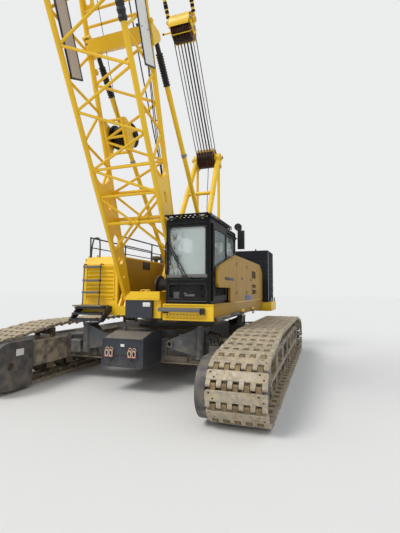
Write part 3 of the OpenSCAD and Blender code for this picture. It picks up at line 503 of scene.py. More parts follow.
class Skin(Enum):
    """The finishes of the crane."""

    YELLOW = Paint("yellow_paint", (0.955, 0.775, 0.02), "yellow_paint", wear=0.14, dust=0.10, streaks=0.16)
    BOOM = Paint("boom_yellow", (0.955, 0.765, 0.03), "yellow_paint", wear=0.20, dust=0.08, streaks=0.12)
    # A darker copy of the yellow paint: painted shade on faces turned to the machine's left, on the left
    # housing, the deck's left side and the right housing's inner face.
    SHADED_YELLOW = Paint("shaded_yellow_paint", (0.665, 0.505, 0.10), "yellow_paint", wear=0.06, dust=0.16, streaks=0.36,
                  clear_coat=0.0, specular=0.15)
    SLATE = Paint("slate_paint", (0.19, 0.208, 0.245), "slate_paint", roughness=0.55, wear=0.2, dust=0.12,
                  mud_height=0.9, mud=0.26, grain=14.0, specular=0.35)
    WEIGHT = Paint("weight_paint", (0.175, 0.185, 0.215), "slate_paint", roughness=0.8, wear=0.12, dust=0.10,
                   clear_coat=0.0, specular=0.06)
    CARRIER = Paint("carrier_paint", (0.285, 0.30, 0.32), "slate_paint", roughness=0.6, wear=0.3, dust=0.5,
                    mud_height=1.25, mud=0.80, grain=8.0)
    FRAME = Paint("frame_paint", (0.215, 0.225, 0.255), "slate_paint", roughness=0.65, wear=0.25, dust=0.6,
                  mud_height=1.7, mud=1.7, grain=6.0, clean_beyond=2.65)
    CAB = Paint("cab_black", (0.070, 0.075, 0.083), "cab_black", roughness=0.5, wear=0.10, dust=0.08,
                clear_coat=0.0, specular=0.15)
    TREAD = Paint("tread_steel", (0.40, 0.40, 0.40), "slate_paint", roughness=0.55,
                  wear=0.4, dust=0.4, grain=20.0)
    SOILED = Paint("soiled_steel", (0.47, 0.43, 0.37), "slate_paint", roughness=0.8,
                   wear=0.3, dust=0.8, grain=20.0)
    SHOE = CastSteel("shoe_steel", (0.68, 0.65, 0.60), "track_steel", soil=(0.76, 0.69, 0.56), cover=0.72)
    KNUCKLE = CastSteel("knuckle_steel", (0.46, 0.40, 0.31), "track_steel", soil=(0.63, 0.52, 0.34),
                        cover=0.8, rust=0.5)
    PLANK = Paint("plank_steel", (0.76, 0.72, 0.68), "slate_paint", roughness=0.75, wear=0.12, dust=0.12,
                  streaks=0.1)
    WHEEL = CastSteel("wheel_steel", (0.30, 0.28, 0.26), "track_steel", cover=0.8)
    SHEAVE = CastSteel("sheave_iron", (0.30, 0.13, 0.10), "sheave_iron", soil=(0.36, 0.22, 0.16), cover=0.35)
    STEEL = Metal("bare_steel", (0.60, 0.58, 0.55), "bare_steel")
    GREASED = Metal("greased_steel", (0.38, 0.36, 0.33), "bare_steel", roughness=0.3, grime=0.7)
    GALVANISED = Metal("galvanised", (0.66, 0.67, 0.68), "bare_steel", roughness=0.45,
                       metallic=0.75, grime=0.25)
    RUBBER = Moulded("black_rubber", (0.07, 0.07, 0.07), "black_rubber")
    BELLOWS = Moulded("bellows_rubber", (0.05, 0.05, 0.055), "black_rubber", roughness=0.55, dust=0.1)
    PLASTIC = Moulded("dark_plastic", (0.11, 0.11, 0.12), "cab_black", roughness=0.5)
    LINING = Moulded("cab_lining", (0.32, 0.33, 0.33), "cab_black", roughness=0.75)
    PLATE = Moulded("blank_plate", (0.88, 0.88, 0.86), "cab_black", roughness=0.4)
    BLUE_PLATE = Moulded("blue_plate", (0.20, 0.25, 0.50), "cab_black", roughness=0.4)
    PINK = Moulded("shackle_pin_paint", (0.74, 0.38, 0.35), "cab_black", roughness=0.5)
    BOW = Metal("shackle_bow", (0.86, 0.74, 0.64), "bare_steel", roughness=0.5, metallic=0.2, grime=0.3)
    SEAT = Weave("seat_cloth", (0.10, 0.10, 0.11), "seat_fabric")
    # Pale glass colours paint the reflection of the sky. The darker door glass, the share kept on side panes
    # and the low panes are painted shade. The window glass's blotches towards the machine's right are painted
    # reflections.
    GLASS = Glass("window_glass", (0.90, 0.955, 0.945), "cab_glass", alpha=0.38, shade_below=2.15, side=0.42,
                  reflections_to=1.22)
    DOOR_GLASS = Glass("door_glass", (0.66, 0.74, 0.75), "cab_glass", alpha=0.38, shade_below=2.19,
                       specular=0.15, side=0.62)
    LENS = Glow("lamp_lens", (0.85, 0.87, 0.86), "cab_glass")
    AMBER = Glow("amber_lens", (0.93, 0.48, 0.08), "cab_glass")
    ROPE = Strand("laid_rope", (0.24, 0.23, 0.22), "wire_rope")
    DRUM_ROPE = Metal("wound_rope", (0.17, 0.16, 0.15), "wire_rope", roughness=0.5, metallic=0.4, grime=0.5)
    PANE = Metal("mirror_pane", (0.72, 0.76, 0.78), "bare_steel", roughness=0.06, metallic=1.0, grime=0.2)
    SCREEN = Moulded("dark_screen", (0.05, 0.07, 0.08), "cab_black", roughness=0.12, dust=0.1)

    def material(self) -> bpy.types.Material:
        """The finish's material."""
        return self.value.material()


# Meshes


X, Y, Z = Vector((1, 0, 0)), Vector((0, 1, 0)), Vector((0, 0, 1))
SIDES = {1: "left", -1: "right"}
ENDS = {1: "front", -1: "rear"}
UPPER, LOWER = "superstructure", "undercarriage"


def turned_to(start: Point, way: Point) -> Matrix:
    """The matrix that stands Z along a direction, with its origin at a point."""
    return Matrix.Translation(start) @ Vector(way).to_track_quat("Z", "Y").to_matrix().to_4x4()


def axes(origin: Point, x: Point, y: Point, z: Point) -> Matrix:
    """The matrix whose three axes lie along these directions, with its origin at a point."""
    return Matrix.Translation(origin) @ Matrix((x, y, z)).transposed().to_4x4()


def facing(origin: Point, right: Vector, up: Vector = Z) -> Matrix:
    """The matrix of a face, with X to its right, Y up it and Z out of it."""
    return axes(origin, right, up, right.cross(up))


def tilted(origin: Point, degrees: float, axis: str = "Y") -> Matrix:
    """The matrix that turns round an axis at a point."""
    return Matrix.Translation(origin) @ Matrix.Rotation(math.radians(degrees), 4, axis)


def around(centre: Point, radius: float, degrees: Iterable[float]) -> list[Vector]:
    """Points on a circle round an axle that lies across the machine, at these angles."""
    turns = (math.radians(a) for a in degrees)
    return [Vector(centre) + radius * Vector((math.cos(a), 0.0, math.sin(a))) for a in turns]


class Form:
    """A mesh in the making, shaped by bmesh operators in the frame of the CAD model."""

    def __init__(self) -> None:
        """Starts empty."""
        self.bm = bmesh.new()
        self.paint = 0

    def _mark(self, verts: Iterable[bmesh.types.BMVert]) -> list[bmesh.types.BMVert]:
        """Gives the faces round these vertices the current material and hands the vertices back.

        Args:
            verts: Vertices of what was added, of which some may be gone.

        Returns:
            Those that are still there.
        """
        kept = [v for v in verts if v.is_valid]
        for face in {f for v in kept for f in v.link_faces}:
            face.material_index = self.paint
        return kept

    def _bevel(self, verts: Iterable[bmesh.types.BMVert], edges: Iterable[bmesh.types.BMEdge], width: float,
               segments: int = 2) -> list[bmesh.types.BMVert]:
        """Rounds edges of the solid that these vertices span and hands its vertices back.

        Args:
            verts: Vertices of the solid.
            edges: Edges that are rounded.
            width: Radius of the edges.
            segments: Faces round an edge.

        Returns:
            The vertices of the rounded solid.
        """
        made = bmesh.ops.bevel(self.bm, geom=list(set(edges)), offset=width, affect="EDGES",
                               segments=segments, profile=0.5, material=-1, clamp_overlap=True)
        return list({v for f in made["faces"] for v in f.verts} | {v for v in verts if v.is_valid})

    def block(self, low: Point, high: Point, bevel: float = 0.0, segments: int = 2,
              at: Matrix | None = None) -> list[bmesh.types.BMVert]:
        """Adds a box between two corners.

        Args:
            low: Lowest corner.
            high: Highest corner.
            bevel: Radius of its edges.
            segments: Faces round an edge.
            at: Matrix that places it.

        Returns:
            Its vertices.
        """
        low, high = Vector(low), Vector(high)
        size = high - low
        matrix = Matrix.Translation((low + high) / 2) @ Matrix.Diagonal((*size, 1.0))
        verts = bmesh.ops.create_cube(self.bm, size=1.0, matrix=matrix)["verts"]
        if bevel > 0.0:
            verts = self._bevel(verts, (e for v in verts for e in v.link_edges), bevel, segments)
        if at is not None:
            bmesh.ops.transform(self.bm, matrix=at, verts=verts)
        return self._mark(verts)

    def blocks(self, *rows: Sequence[float], at: Matrix | None = None) -> None:
        """Adds boxes from rows of lowest corner, highest corner, bevel and, if not 2, segments."""
        for row in rows:
            self.block(row[:3], row[3:6], *row[6:], at=at)

    def slabs(self, half: Point, bevel: float, *middles: Point, segments: int = 2,
              at: Matrix | None = None) -> None:
        """Adds equal boxes round their middles, given their half sizes."""
        for middle in middles:
            self.block(Vector(middle) - Vector(half), Vector(middle) + Vector(half), bevel, segments, at)

    def rod(self, start: Point, end: Point, radius: float, sides: int = 16, tip: float | None = None,
            bevel: float = 0.0) -> list[bmesh.types.BMVert]:
        """Adds a round bar, or a cone where the tip's radius is given.

        Args:
            start: Middle of one end.
            end: Middle of the other end.
            radius: Radius at the start.
            sides: Faces round it.
            tip: Radius at the end.
            bevel: Radius of its end edges.

        Returns:
            Its vertices.
        """
        way = Vector(end) - Vector(start)
        length = way.length
        matrix = turned_to(start, way) @ Matrix.Translation((0.0, 0.0, length / 2))
        verts = bmesh.ops.create_cone(self.bm, cap_ends=True, cap_tris=False, segments=sides, radius1=radius,
                                      radius2=radius if tip is None else tip, depth=length,
                                      matrix=matrix)["verts"]
        if bevel > 0.0:
            rims = [e for v in verts for e in v.link_edges if any(len(f.verts) > 4 for f in e.link_faces)]
            verts = self._bevel(verts, rims, bevel)
        return self._mark(verts)

    def path(self, points: Sequence[Point], radius: float, sides: int, bevel: float = 0.0) -> None:
        """Adds round bars from each point to the next."""
        for start, end in zip(points, points[1:]):
            self.rod(start, end, radius, sides, bevel=bevel)

    def ball(self, centre: Point, radius: float, detail: int = 2, squash: Point = (1.0, 1.0, 1.0)) -> None:
        """Adds a ball, or an ellipsoid where the squash isn't even."""
        matrix = Matrix.Translation(centre) @ Matrix.Diagonal((*squash, 1.0))
        self._mark(bmesh.ops.create_icosphere(self.bm, subdivisions=detail, radius=radius,
                                              matrix=matrix)["verts"])

    def lathe(self, profile: Sequence[tuple[float, float]], start: Point, way: Point, steps: int) -> None:
        """Spins a profile round a line.

        Args:
            profile: Pairs of distance along the line and radius.
            start: Where distance is 0.
            way: Direction of the line.
            steps: Faces round the full turn.
        """
        points = [self.bm.verts.new((radius, 0.0, along)) for along, radius in profile]
        edges = [self.bm.edges.new(pair) for pair in zip(points, points[1:])]
        made = bmesh.ops.spin(self.bm, geom=points + edges, cent=(0, 0, 0), axis=Z, angle=math.tau,
                              steps=steps, use_merge=True)
        verts = set(points) | {v for v in made["geom_last"] if isinstance(v, bmesh.types.BMVert)}
        found, wave = set(verts), list(verts)
        while wave:
            for edge in wave.pop().link_edges:
                for vert in edge.verts:
                    if vert not in found:
                        found.add(vert)
                        wave.append(vert)
        bmesh.ops.remove_doubles(self.bm, verts=list(found), dist=1e-6)
        kept = [v for v in found if v.is_valid]
        bmesh.ops.transform(self.bm, matrix=turned_to(start, way), verts=kept)
        faces = list({f for v in kept for f in v.link_faces})
        bmesh.ops.recalc_face_normals(self.bm, faces=faces)
        self._mark(kept)

    def cap(self, rims: Sequence[tuple[float, float]], start: Point, way: Point, steps: int) -> None:
        """Spins a profile that is closed by a disc at both ends, such as a pin's head."""
        self.lathe([(rims[0][0], 0.0), *rims, (rims[-1][0], 0.0)], start, way, steps)

    def plate(self, outline: Sequence[tuple[float, float]], thickness: float, at: Matrix,
              holes: Sequence[tuple[float, float, float]] = (), bevel: float = 0.0, sides: int = 12,
              cuts: Sequence[Sequence[tuple[float, float]]] = ()) -> list[bmesh.types.BMVert]:
        """Extrudes an outline with holes.

        Args:
            outline: Corners in the plate's own X and Y.
            thickness: Thickness along the plate's own Z.
            at: Matrix that places the plate.
            holes: Centre and radius of each round hole.
            bevel: Radius of the outer rims.
            sides: Faces round a hole.
            cuts: Corners of each hole that isn't round.

        Returns:
            Its vertices.
        """
        edges = []
        loops = [list(outline), *(list(cut) for cut in cuts)]
        for x, y, radius in holes:
            step = math.tau / sides
            loops.append([(x + radius * math.cos(i * step), y + radius * math.sin(i * step))
                          for i in range(sides)])
        for loop in loops:
            verts = [self.bm.verts.new((x, y, 0.0)) for x, y in loop]
            edges += [self.bm.edges.new((a, b)) for a, b in zip(verts, verts[1:] + verts[:1])]
        filled = bmesh.ops.triangle_fill(self.bm, edges=edges, use_beauty=True, use_dissolve=False)["geom"]
        faces = [f for f in filled if isinstance(f, bmesh.types.BMFace)]
        made = bmesh.ops.extrude_face_region(self.bm, geom=faces)["geom"]
        lifted = [v for v in made if isinstance(v, bmesh.types.BMVert)]
        bmesh.ops.translate(self.bm, vec=(0.0, 0.0, thickness), verts=lifted)
        base = {v for f in faces if f.is_valid for v in f.verts} | {v for e in edges
                                                                    if e.is_valid for v in e.verts}
        verts = list(base | set(lifted))
        bmesh.ops.recalc_face_normals(self.bm, faces=list({f for v in verts for f in v.link_faces}))
        if bevel > 0.0:
            rims = [e for v in lifted for e in v.link_edges
                    if len(e.link_faces) == 2 and e.calc_face_angle(0.0) > 1.2 and all(w in lifted
                                                                                       for w in e.verts)]
            verts = self._bevel(verts, rims, bevel, 1)
        bmesh.ops.transform(self.bm, matrix=at, verts=verts)
        return self._mark(verts)

    def bolt(self, at: Point, towards: Point, size: float = 0.018) -> None:
        """Adds a hexagon head on its washer, seated at a point and pointing along a direction.

        Args:
            at: Where its washer sits.
            towards: Direction that it points in.
            size: Radius of its head.
        """
        base, along = Vector(at), Vector(towards).normalized() * size
        self.rod(base, base + along * 0.2, 1.05 * size, 16)
        self.rod(base + along * 0.2, base + along * 0.85, 0.78 * size, 6, bevel=0.08 * size)

    def bolts(self, places: Iterable[Point], towards: Point, size: float = 0.018) -> None:
        """Adds a row of bolts that point the same way."""
        for place in places:
            self.bolt(place, towards, size)

    def weld(self, start: Point, end: Point, radius: float = 0.008) -> None:
        """Adds a bead along a line."""
        self.rod(start, end, radius, 8)

    def guards(self, place: Callable[[float, float, float], Vector], angles: Iterable[float], reach: float,
               half: float) -> None:
        """Adds the rods that keep the ropes in a row of sheaves, each on a pair of arms.

        Args:
            place: Gives a point from its distances across and up from the axle, and along it.
            angles: Where the rods stand round the axle, in degrees.
            reach: Distance of the rods from the axle.
            half: Half the length of the rods.
        """
        for angle in angles:
            c, s = math.cos(math.radians(angle)), math.sin(math.radians(angle))
            self.rod(place(reach * c, reach * s, -half), place(reach * c, reach * s, half), 0.012, 10)
            for y in (0.003 - half, half - 0.003):
                self.rod(place(0.12 * c, 0.12 * s, y), place((reach + 0.013) * c, (reach + 0.013) * s, y),
                         0.010, 8)

    def winding(self, half: float, turns: int, step: float, core: float, rims: Sequence[tuple[float, float]],
                centre: Point, steps: int) -> None:
        """Adds the rope wound on a drum that lies across the machine.

        Args:
            half: Half the width of the winding.
            turns: Turns beside each other.
            step: Distance from turn to turn.
            core: Radius under the rope.
            rims: Distance from a turn's start and radius, for each corner of its round back.
            centre: Middle of the drum.
            steps: Faces round it.
        """
        backs = [(i * step - half + along, radius) for i in range(turns) for along, radius in rims]
        self.lathe([(-half, core), *backs, (half, rims[0][1]), (half, core)], centre, Y, steps)

    def copied(self, verts: Iterable[bmesh.types.BMVert], matrix: Matrix) -> list[bmesh.types.BMVert]:
        """Adds a moved copy of what these vertices span.

        Args:
            verts: Vertices that span it.
            matrix: Matrix that moves the copy.

        Returns:
            The vertices of the copy.
        """
        kept = [v for v in verts if v.is_valid]
        faces = list({f for v in kept for f in v.link_faces})
        edges = list({e for v in kept for e in v.link_edges})
        made = bmesh.ops.duplicate(self.bm, geom=kept + edges + faces)["geom"]
        fresh = [v for v in made if isinstance(v, bmesh.types.BMVert)]
        bmesh.ops.transform(self.bm, matrix=matrix, verts=fresh)
        return fresh

    def mirrored(self, axis: int) -> None:
        """Adds the mirror image of all that is there, across the plane through the origin.

        Args:
            axis: Index of the axis that changes sides.
        """
        scale = [1.0, 1.0, 1.0, 1.0]
        scale[axis] = -1.0
        fresh = self.copied(list(self.bm.verts), Matrix.Diagonal(scale))
        bmesh.ops.reverse_faces(self.bm, faces=list({f for v in fresh for f in v.link_faces}))

    def made(self, name: str, body: str, *skins: Skin, crease: float = 35.0) -> bpy.types.Object:
        """Ends the mesh and seats the piece on its body.

        Args:
            name: Name of the piece.
            body: CAD body that it rides on.
            skins: Finishes in the order of the material index.
            crease: Angle in degrees past which an edge stays sharp.

        Returns:
            The finished piece.
        """
        limit = math.radians(crease)
        for edge in self.bm.edges:
            edge.smooth = len(edge.link_faces) == 2 and edge.calc_face_angle(0.0) < limit
        for face in self.bm.faces:
            face.smooth = True
        mesh = bpy.data.meshes.new(name)
        self.bm.to_mesh(mesh)
        self.bm.free()
        return seat(bpy.data.objects.new(name, mesh), body, *skins)


def seat(piece: bpy.types.Object, body: str, *skins: Skin) -> bpy.types.Object:
    """Links a piece, dresses it and lets it ride on its body.

    Args:
        piece: Object that isn't linked yet.
        body: CAD body that it rides on.
        skins: Finishes in the order of the material index.

    Returns:
        The same piece.
    """
    bpy.context.scene.collection.objects.link(piece)
    for skin in skins:
        piece.data.materials.append(skin.material())
    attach(piece, body)
    log.info("%s rides on %s", piece.name, body)
    return piece


def shaped(name: str, body: str, skins: Sequence[Skin], *steps: Callable[[Form], None],
           crease: float = 35.0) -> bpy.types.Object:
    """Makes a piece from methods that each add to its mesh.

    Args:
        name: Name of the piece.
        body: CAD body that it rides on.
        skins: Finishes in the order of the material index.
        steps: Methods that take the mesh.
        crease: Angle in degrees past which an edge stays sharp.

    Returns:
        The finished piece.
    """
    form = Form()
    for step in steps:
        form.paint = 0
        step(form)
    return form.made(name, body, *skins, crease=crease)


def dress(skin: Skin, *nodes: str) -> None:
    """Gives CAD nodes their finish.

    Args:
        skin: Their finish.
        nodes: Names of the nodes.
    """
    for node in nodes:
        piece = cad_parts[node]
        piece.data.materials.clear()
        piece.data.materials.append(skin.material())


def rounded(width: float, height: float, radius: float, steps: int = 5) -> list[tuple[float, float]]:
    """Corners of a rectangle with rounded corners, with its middle at the origin.

    Args:
        width: Size in the outline's X.
        height: Size in the outline's Y.
        radius: Radius of each corner.
        steps: Edges round a corner.

    Returns:
        The corners, counterclockwise.
    """
    out = []
    for quarter, (sx, sy) in enumerate(((1, 1), (-1, 1), (-1, -1), (1, -1))):
        for k in range(steps + 1):
            a = math.radians(90 * (quarter + k / steps))
            out.append((sx * (width / 2 - radius) + radius * math.cos(a),
                        sy * (height / 2 - radius) + radius * math.sin(a)))
    return out


def tube(bm: bmesh.types.BMesh, points: Sequence[Point], radius: float, sides: int) -> None:
    """Adds a round tube along a smooth line to a mesh, with its UV map along the line.

    Args:
        bm: Mesh that it is added to, which has a UV layer.
        points: Points that the line passes.
        radius: Radius of the tube.
        sides: Faces round it.
    """
    line = [Vector(p) for p in points]
    layer = bm.loops.layers.uv.verify()
    rings, run, lengths = [], 0.0, []
    side = None
    for i, point in enumerate(line):
        ahead = (line[min(i + 1, len(line) - 1)] - line[max(i - 1, 0)]).normalized()
        if side is None:
            side = ahead.orthogonal().normalized()
        side = (side - ahead * side.dot(ahead)).normalized()
        other = ahead.cross(side)
        run += (point - line[i - 1]).length if i else 0.0
        lengths.append(run)
        angles = [math.tau * k / sides for k in range(sides)]
        rings.append([bm.verts.new(point + radius * (side * math.cos(a) + other * math.sin(a)))
                      for a in angles])
    for i in range(len(rings) - 1):
        for k in range(sides):
            after = (k + 1) % sides
            quad = bm.faces.new((rings[i][k], rings[i][after], rings[i + 1][after], rings[i + 1][k]))
            around = (k / sides, (k + 1) / sides, (k + 1) / sides, k / sides)
            along = (lengths[i], lengths[i], lengths[i + 1], lengths[i + 1])
            for loop, u, v in zip(quad.loops, around, along):
                loop[layer].uv = (u, v)
            quad.smooth = True
    bm.faces.new(list(reversed(rings[0])))
    bm.faces.new(rings[-1])


def strands(name: str, lines: Sequence[Sequence[Point]], radius: float, sides: int = 8) -> bpy.types.Object:
    """Makes round tubes along smooth lines as one object.

    Args:
        name: Name of the object and its mesh.
        lines: Points that each line passes.
        radius: Radius of the tubes.
        sides: Faces round them.

    Returns:
        The object, not yet linked.
    """
    bm = bmesh.new()
    for line in lines:
        tube(bm, line, radius, sides)
    mesh = bpy.data.meshes.new(name)
    bm.to_mesh(mesh)
    bm.free()
    return bpy.data.objects.new(name, mesh)


def straight(start: Point, end: Point, pieces: int = 8) -> list[Vector]:
    """Points on the straight line between two points."""
    return [Vector(start).lerp(Vector(end), i / pieces) for i in range(pieces + 1)]


def curve_points(corners: Sequence[Point], steps: int = 8) -> list[Vector]:
    """Points on a smooth line through corners, by Catmull and Rom's rule.

    Args:
        corners: Points that the line passes.
        steps: Pieces from one corner to the next.

    Returns:
        The points of the line.
    """
    p = [Vector(c) for c in corners]
    p = [2 * p[0] - p[1], *p, 2 * p[-1] - p[-2]]
    out = []
    for i in range(1, len(p) - 2):
        for k in range(steps):
            t = k / steps
            out.append(0.5 * (2 * p[i] + (p[i + 1] - p[i - 1]) * t
                              + (2 * p[i - 1] - 5 * p[i] + 4 * p[i + 1] - p[i + 2]) * t * t
                              + (3 * p[i] - p[i - 1] - 3 * p[i + 1] + p[i + 2]) * t ** 3))
    out.append(p[-2])
    return out


# Places shared with the CAD model


@dataclass(frozen=True)
class Places:
    """Sizes of the crane in metres that more than one sub-assembly is set by."""

    track_inner: float = 2.03
    shoe_width: float = 0.85
    axle_x: float = 3.36
    frame_inner: float = 1.87
    end_radius: float = 0.5
    track_top: float = 1.2
    carrier_x: float = 1.9
    shoe_half: float = 0.045
    shoe_count: int = 60
    boom_angle: float = math.radians(66.5)
    foot: tuple[float, float] = (1.35, 1.75)
    boom_length: float = 25.0
    chord_width: float = 1.3
    chord_depth: float = 1.16
    butt_length: float = 6.3
    gantry: tuple[float, float] = (-2.52, 6.27)
    deck_low: float = 1.36
    deck_top: float = 1.66
    line_angle: float = math.atan2(23.9548 - 6.27, 10.7214 + 2.52)
    line_length: float = math.hypot(10.7214 + 2.52, 23.9548 - 6.27)
    shaft: tuple[float, float] = (11.9607, 24.3974)
    box_at: float = 5.085

    def boom(self, ahead: float, along: float, across: float = 0.0) -> Vector:
        """A point on the boom.

        Args:
            ahead: Distance in front of its axis.
            along: Distance from the foot pin along its axis.
            across: Distance to the operator's left.

        Returns:
            The point in the frame of the CAD model.
        """
        c, s = math.cos(self.boom_angle), math.sin(self.boom_angle)
        return Vector((self.foot[0] + along * c + ahead * s, across, self.foot[1] + along * s - ahead * c))

    def boom_matrix(self, ahead: float, along: float, across: float) -> Matrix:
        """The matrix with Z along the boom, X to its front face and its origin at a point on the boom."""
        turn = Matrix.Rotation(math.pi / 2 - self.boom_angle, 4, "Y")
        return Matrix.Translation(self.boom(ahead, along, across)) @ turn

    def line(self, ahead: float, along: float, across: float = 0.0) -> Vector:
        """A point on the luffing line.

        Args:
            ahead: Distance in front of and below the line.
            along: Distance from the gantry's axle towards the boom's head.
            across: Distance to the operator's left.

        Returns:
            The point in the frame of the CAD model.
        """
        c, s = math.cos(self.line_angle), math.sin(self.line_angle)
        return Vector((self.gantry[0] + along * c + ahead * s, across,
                       self.gantry[1] + along * s - ahead * c))

    def half_depth(self, along: float) -> float:
        """Half the depth of the butt section over its chords' axes."""
        return 0.07 + (self.chord_depth / 2 - 0.07) * along / self.butt_length


AT = Places()


# Undercarriage


@dataclass
class Track:
    """A crawler track whose cast shoes hook into each other with fingers along their hinge pins."""

    side: int
    plate_share: float = 0.27
    plate_low: float = -0.022
    plate_high: float = 0.043
    knuckle: float = 0.034
    slots: int = 11
    finger_play: float = 0.011
    hole: float = 0.013
    rail_at: float = 0.13
    rail_half: float = 0.06
    horn_at: float = 0.236
    horn_half: float = 0.012
    corner: float = 0.02

    def __post_init__(self) -> None:
        """Works out the loop of the hinge pins."""
        self.pin_r = AT.end_radius - AT.shoe_half
        self.top = AT.track_top - AT.shoe_half
        rise, run = self.top - AT.end_radius, AT.carrier_x - AT.axle_x
        far = math.hypot(rise, run)
        self.slope = math.sqrt(far * far - self.pin_r * self.pin_r)
        self.wrap = math.atan2(rise, run) - math.acos(self.pin_r / far)
        self.arc = self.pin_r * (self.wrap + math.pi / 2)
        self.half = AT.axle_x + self.arc + self.slope + AT.carrier_x
        self.pitch = 2 * self.half / AT.shoe_count
        self.middle = AT.track_inner + AT.shoe_width / 2

    def _half_at(self, run: float) -> tuple[float, float, float]:
        """Place and heading on the forward half of the loop, from the middle of the ground run.

        Args:
            run: Distance from the middle of the ground run.

        Returns:
            X, Z and heading.
        """
        if run < AT.axle_x:
            return run, AT.shoe_half, 0.0
        run -= AT.axle_x
        if run < self.arc:
            a = run / self.pin_r - math.pi / 2
            out, up = self.pin_r * math.cos(a), self.pin_r * math.sin(a)
            return AT.axle_x + out, AT.end_radius + up, a + math.pi / 2
        run -= self.arc
        heading = self.wrap + math.pi / 2
        if run < self.slope:
            return (AT.axle_x + self.pin_r * math.cos(self.wrap) + run * math.cos(heading),
                    AT.end_radius + self.pin_r * math.sin(self.wrap) + run * math.sin(heading), heading)
        return AT.carrier_x - (run - self.slope), self.top, math.pi

    def _pin_at(self, index: float) -> tuple[float, float]:
        """Middle of a hinge pin, counted along the loop.

        Args:
            index: Its number, with a half for the pin between two shoes.

        Returns:
            Its X and Z.
        """
        run = (index * self.pitch) % (2 * self.half)
        if run <= self.half:
            x, z, _ = self._half_at(run)
            return x, z
        x, z, _ = self._half_at(2 * self.half - run)
        return -x, z

    def _shoe_matrix(self, index: int) -> Matrix:
        """The matrix that places a shoe between two neighbouring pins, with Z outwards.

        Args:
            index: Number of the shoe.

        Returns:
            The matrix.
        """
        ax, az = self._pin_at(index - 0.5)
        bx, bz = self._pin_at(index + 0.5)
        along = Vector((bx - ax, 0.0, bz - az)).normalized()
        out = Vector((along.z, 0.0, -along.x))
        return axes(((ax + bx) / 2, self.side * self.middle, (az + bz) / 2), along, out.cross(along), out)

    def _finger(self, form: Form, slot: int, ahead: int) -> list[bmesh.types.BMVert]:
        """Adds one finger that ends in a knuckle round the pin.

        Args:
            form: Mesh that it adds to.
            slot: Its number across the shoe.
            ahead: 1 where it points along the loop, -1 where it points back.

        Returns:
            Its vertices.
        """
        width = AT.shoe_width / self.slots
        low = -AT.shoe_width / 2 + slot * width + self.finger_play / 2
        start = self.plate_share * self.pitch - 0.012
        pin = 0.5 * self.pitch - 0.003
        rim = [(pin + self.knuckle * math.cos(a), self.knuckle * math.sin(a))
               for a in (math.radians(d) for d in range(-110, 111, 22))]
        outline = [(start, self.plate_low), *rim, (start, self.plate_high - 0.006)]
        if ahead < 0:
            outline = [(-t, n) for t, n in reversed(outline)]
        return form.plate(outline, width - self.finger_play, axes((0, low, 0), X, Z, Y))

    def _shoe(self, form: Form) -> list[bmesh.types.BMVert]:
        """Adds one shoe round the origin, with its sole up.

        Args:
            form: Mesh that it adds to.

        Returns:
            Its vertices.
        """
        t, y, cut = self.plate_share * self.pitch, AT.shoe_width / 2, self.corner
        outline = [(-t, -y + cut), (-t + cut, -y), (t - cut, -y), (t, -y + cut),
                   (t, y - cut), (t - cut, y), (-t + cut, y), (-t, y - cut)]
        holes = [(0.45 * t, y - 0.055, self.hole), (-0.5 * t, y - 0.115, self.hole),
                 (-0.45 * t, -y + 0.055, self.hole), (0.5 * t, -y + 0.115, self.hole)]
        verts = form.plate(outline, self.plate_high - self.plate_low,
                           Matrix.Translation((0, 0, self.plate_low)), holes, bevel=0.006, sides=10)
        for s in SIDES:
            low, high = s * self.rail_at - self.rail_half, s * self.rail_at + self.rail_half
            verts += form.block((-0.46 * self.pitch, low, -AT.shoe_half),
                                (0.46 * self.pitch, high, self.plate_low))
            low, high = s * self.horn_at - self.horn_half, s * self.horn_at + self.horn_half
            verts += form.block((-0.045, low, -0.078), (0.045, high, self.plate_low), bevel=0.008, segments=1)
        for slot in range(self.slots):
            form.paint = slot % 2
            verts += self._finger(form, slot, 1 if slot % 2 else -1)
        return verts

    def build(self) -> None:
        """Makes the loop of shoes in the place of the CAD track."""
        form = Form()
        shoe = self._shoe(form)
        for i in range(1, AT.shoe_count):
            form.copied(shoe, self._shoe_matrix(i))
        bmesh.ops.transform(form.bm, matrix=self._shoe_matrix(0), verts=[v for v in shoe if v.is_valid])
        name = SIDES[self.side]
        piece = form.made(f"track_shoes_{name}", LOWER, Skin.SHOE, Skin.KNUCKLE, crease=32.0)
        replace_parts(piece, f"track_{name}")


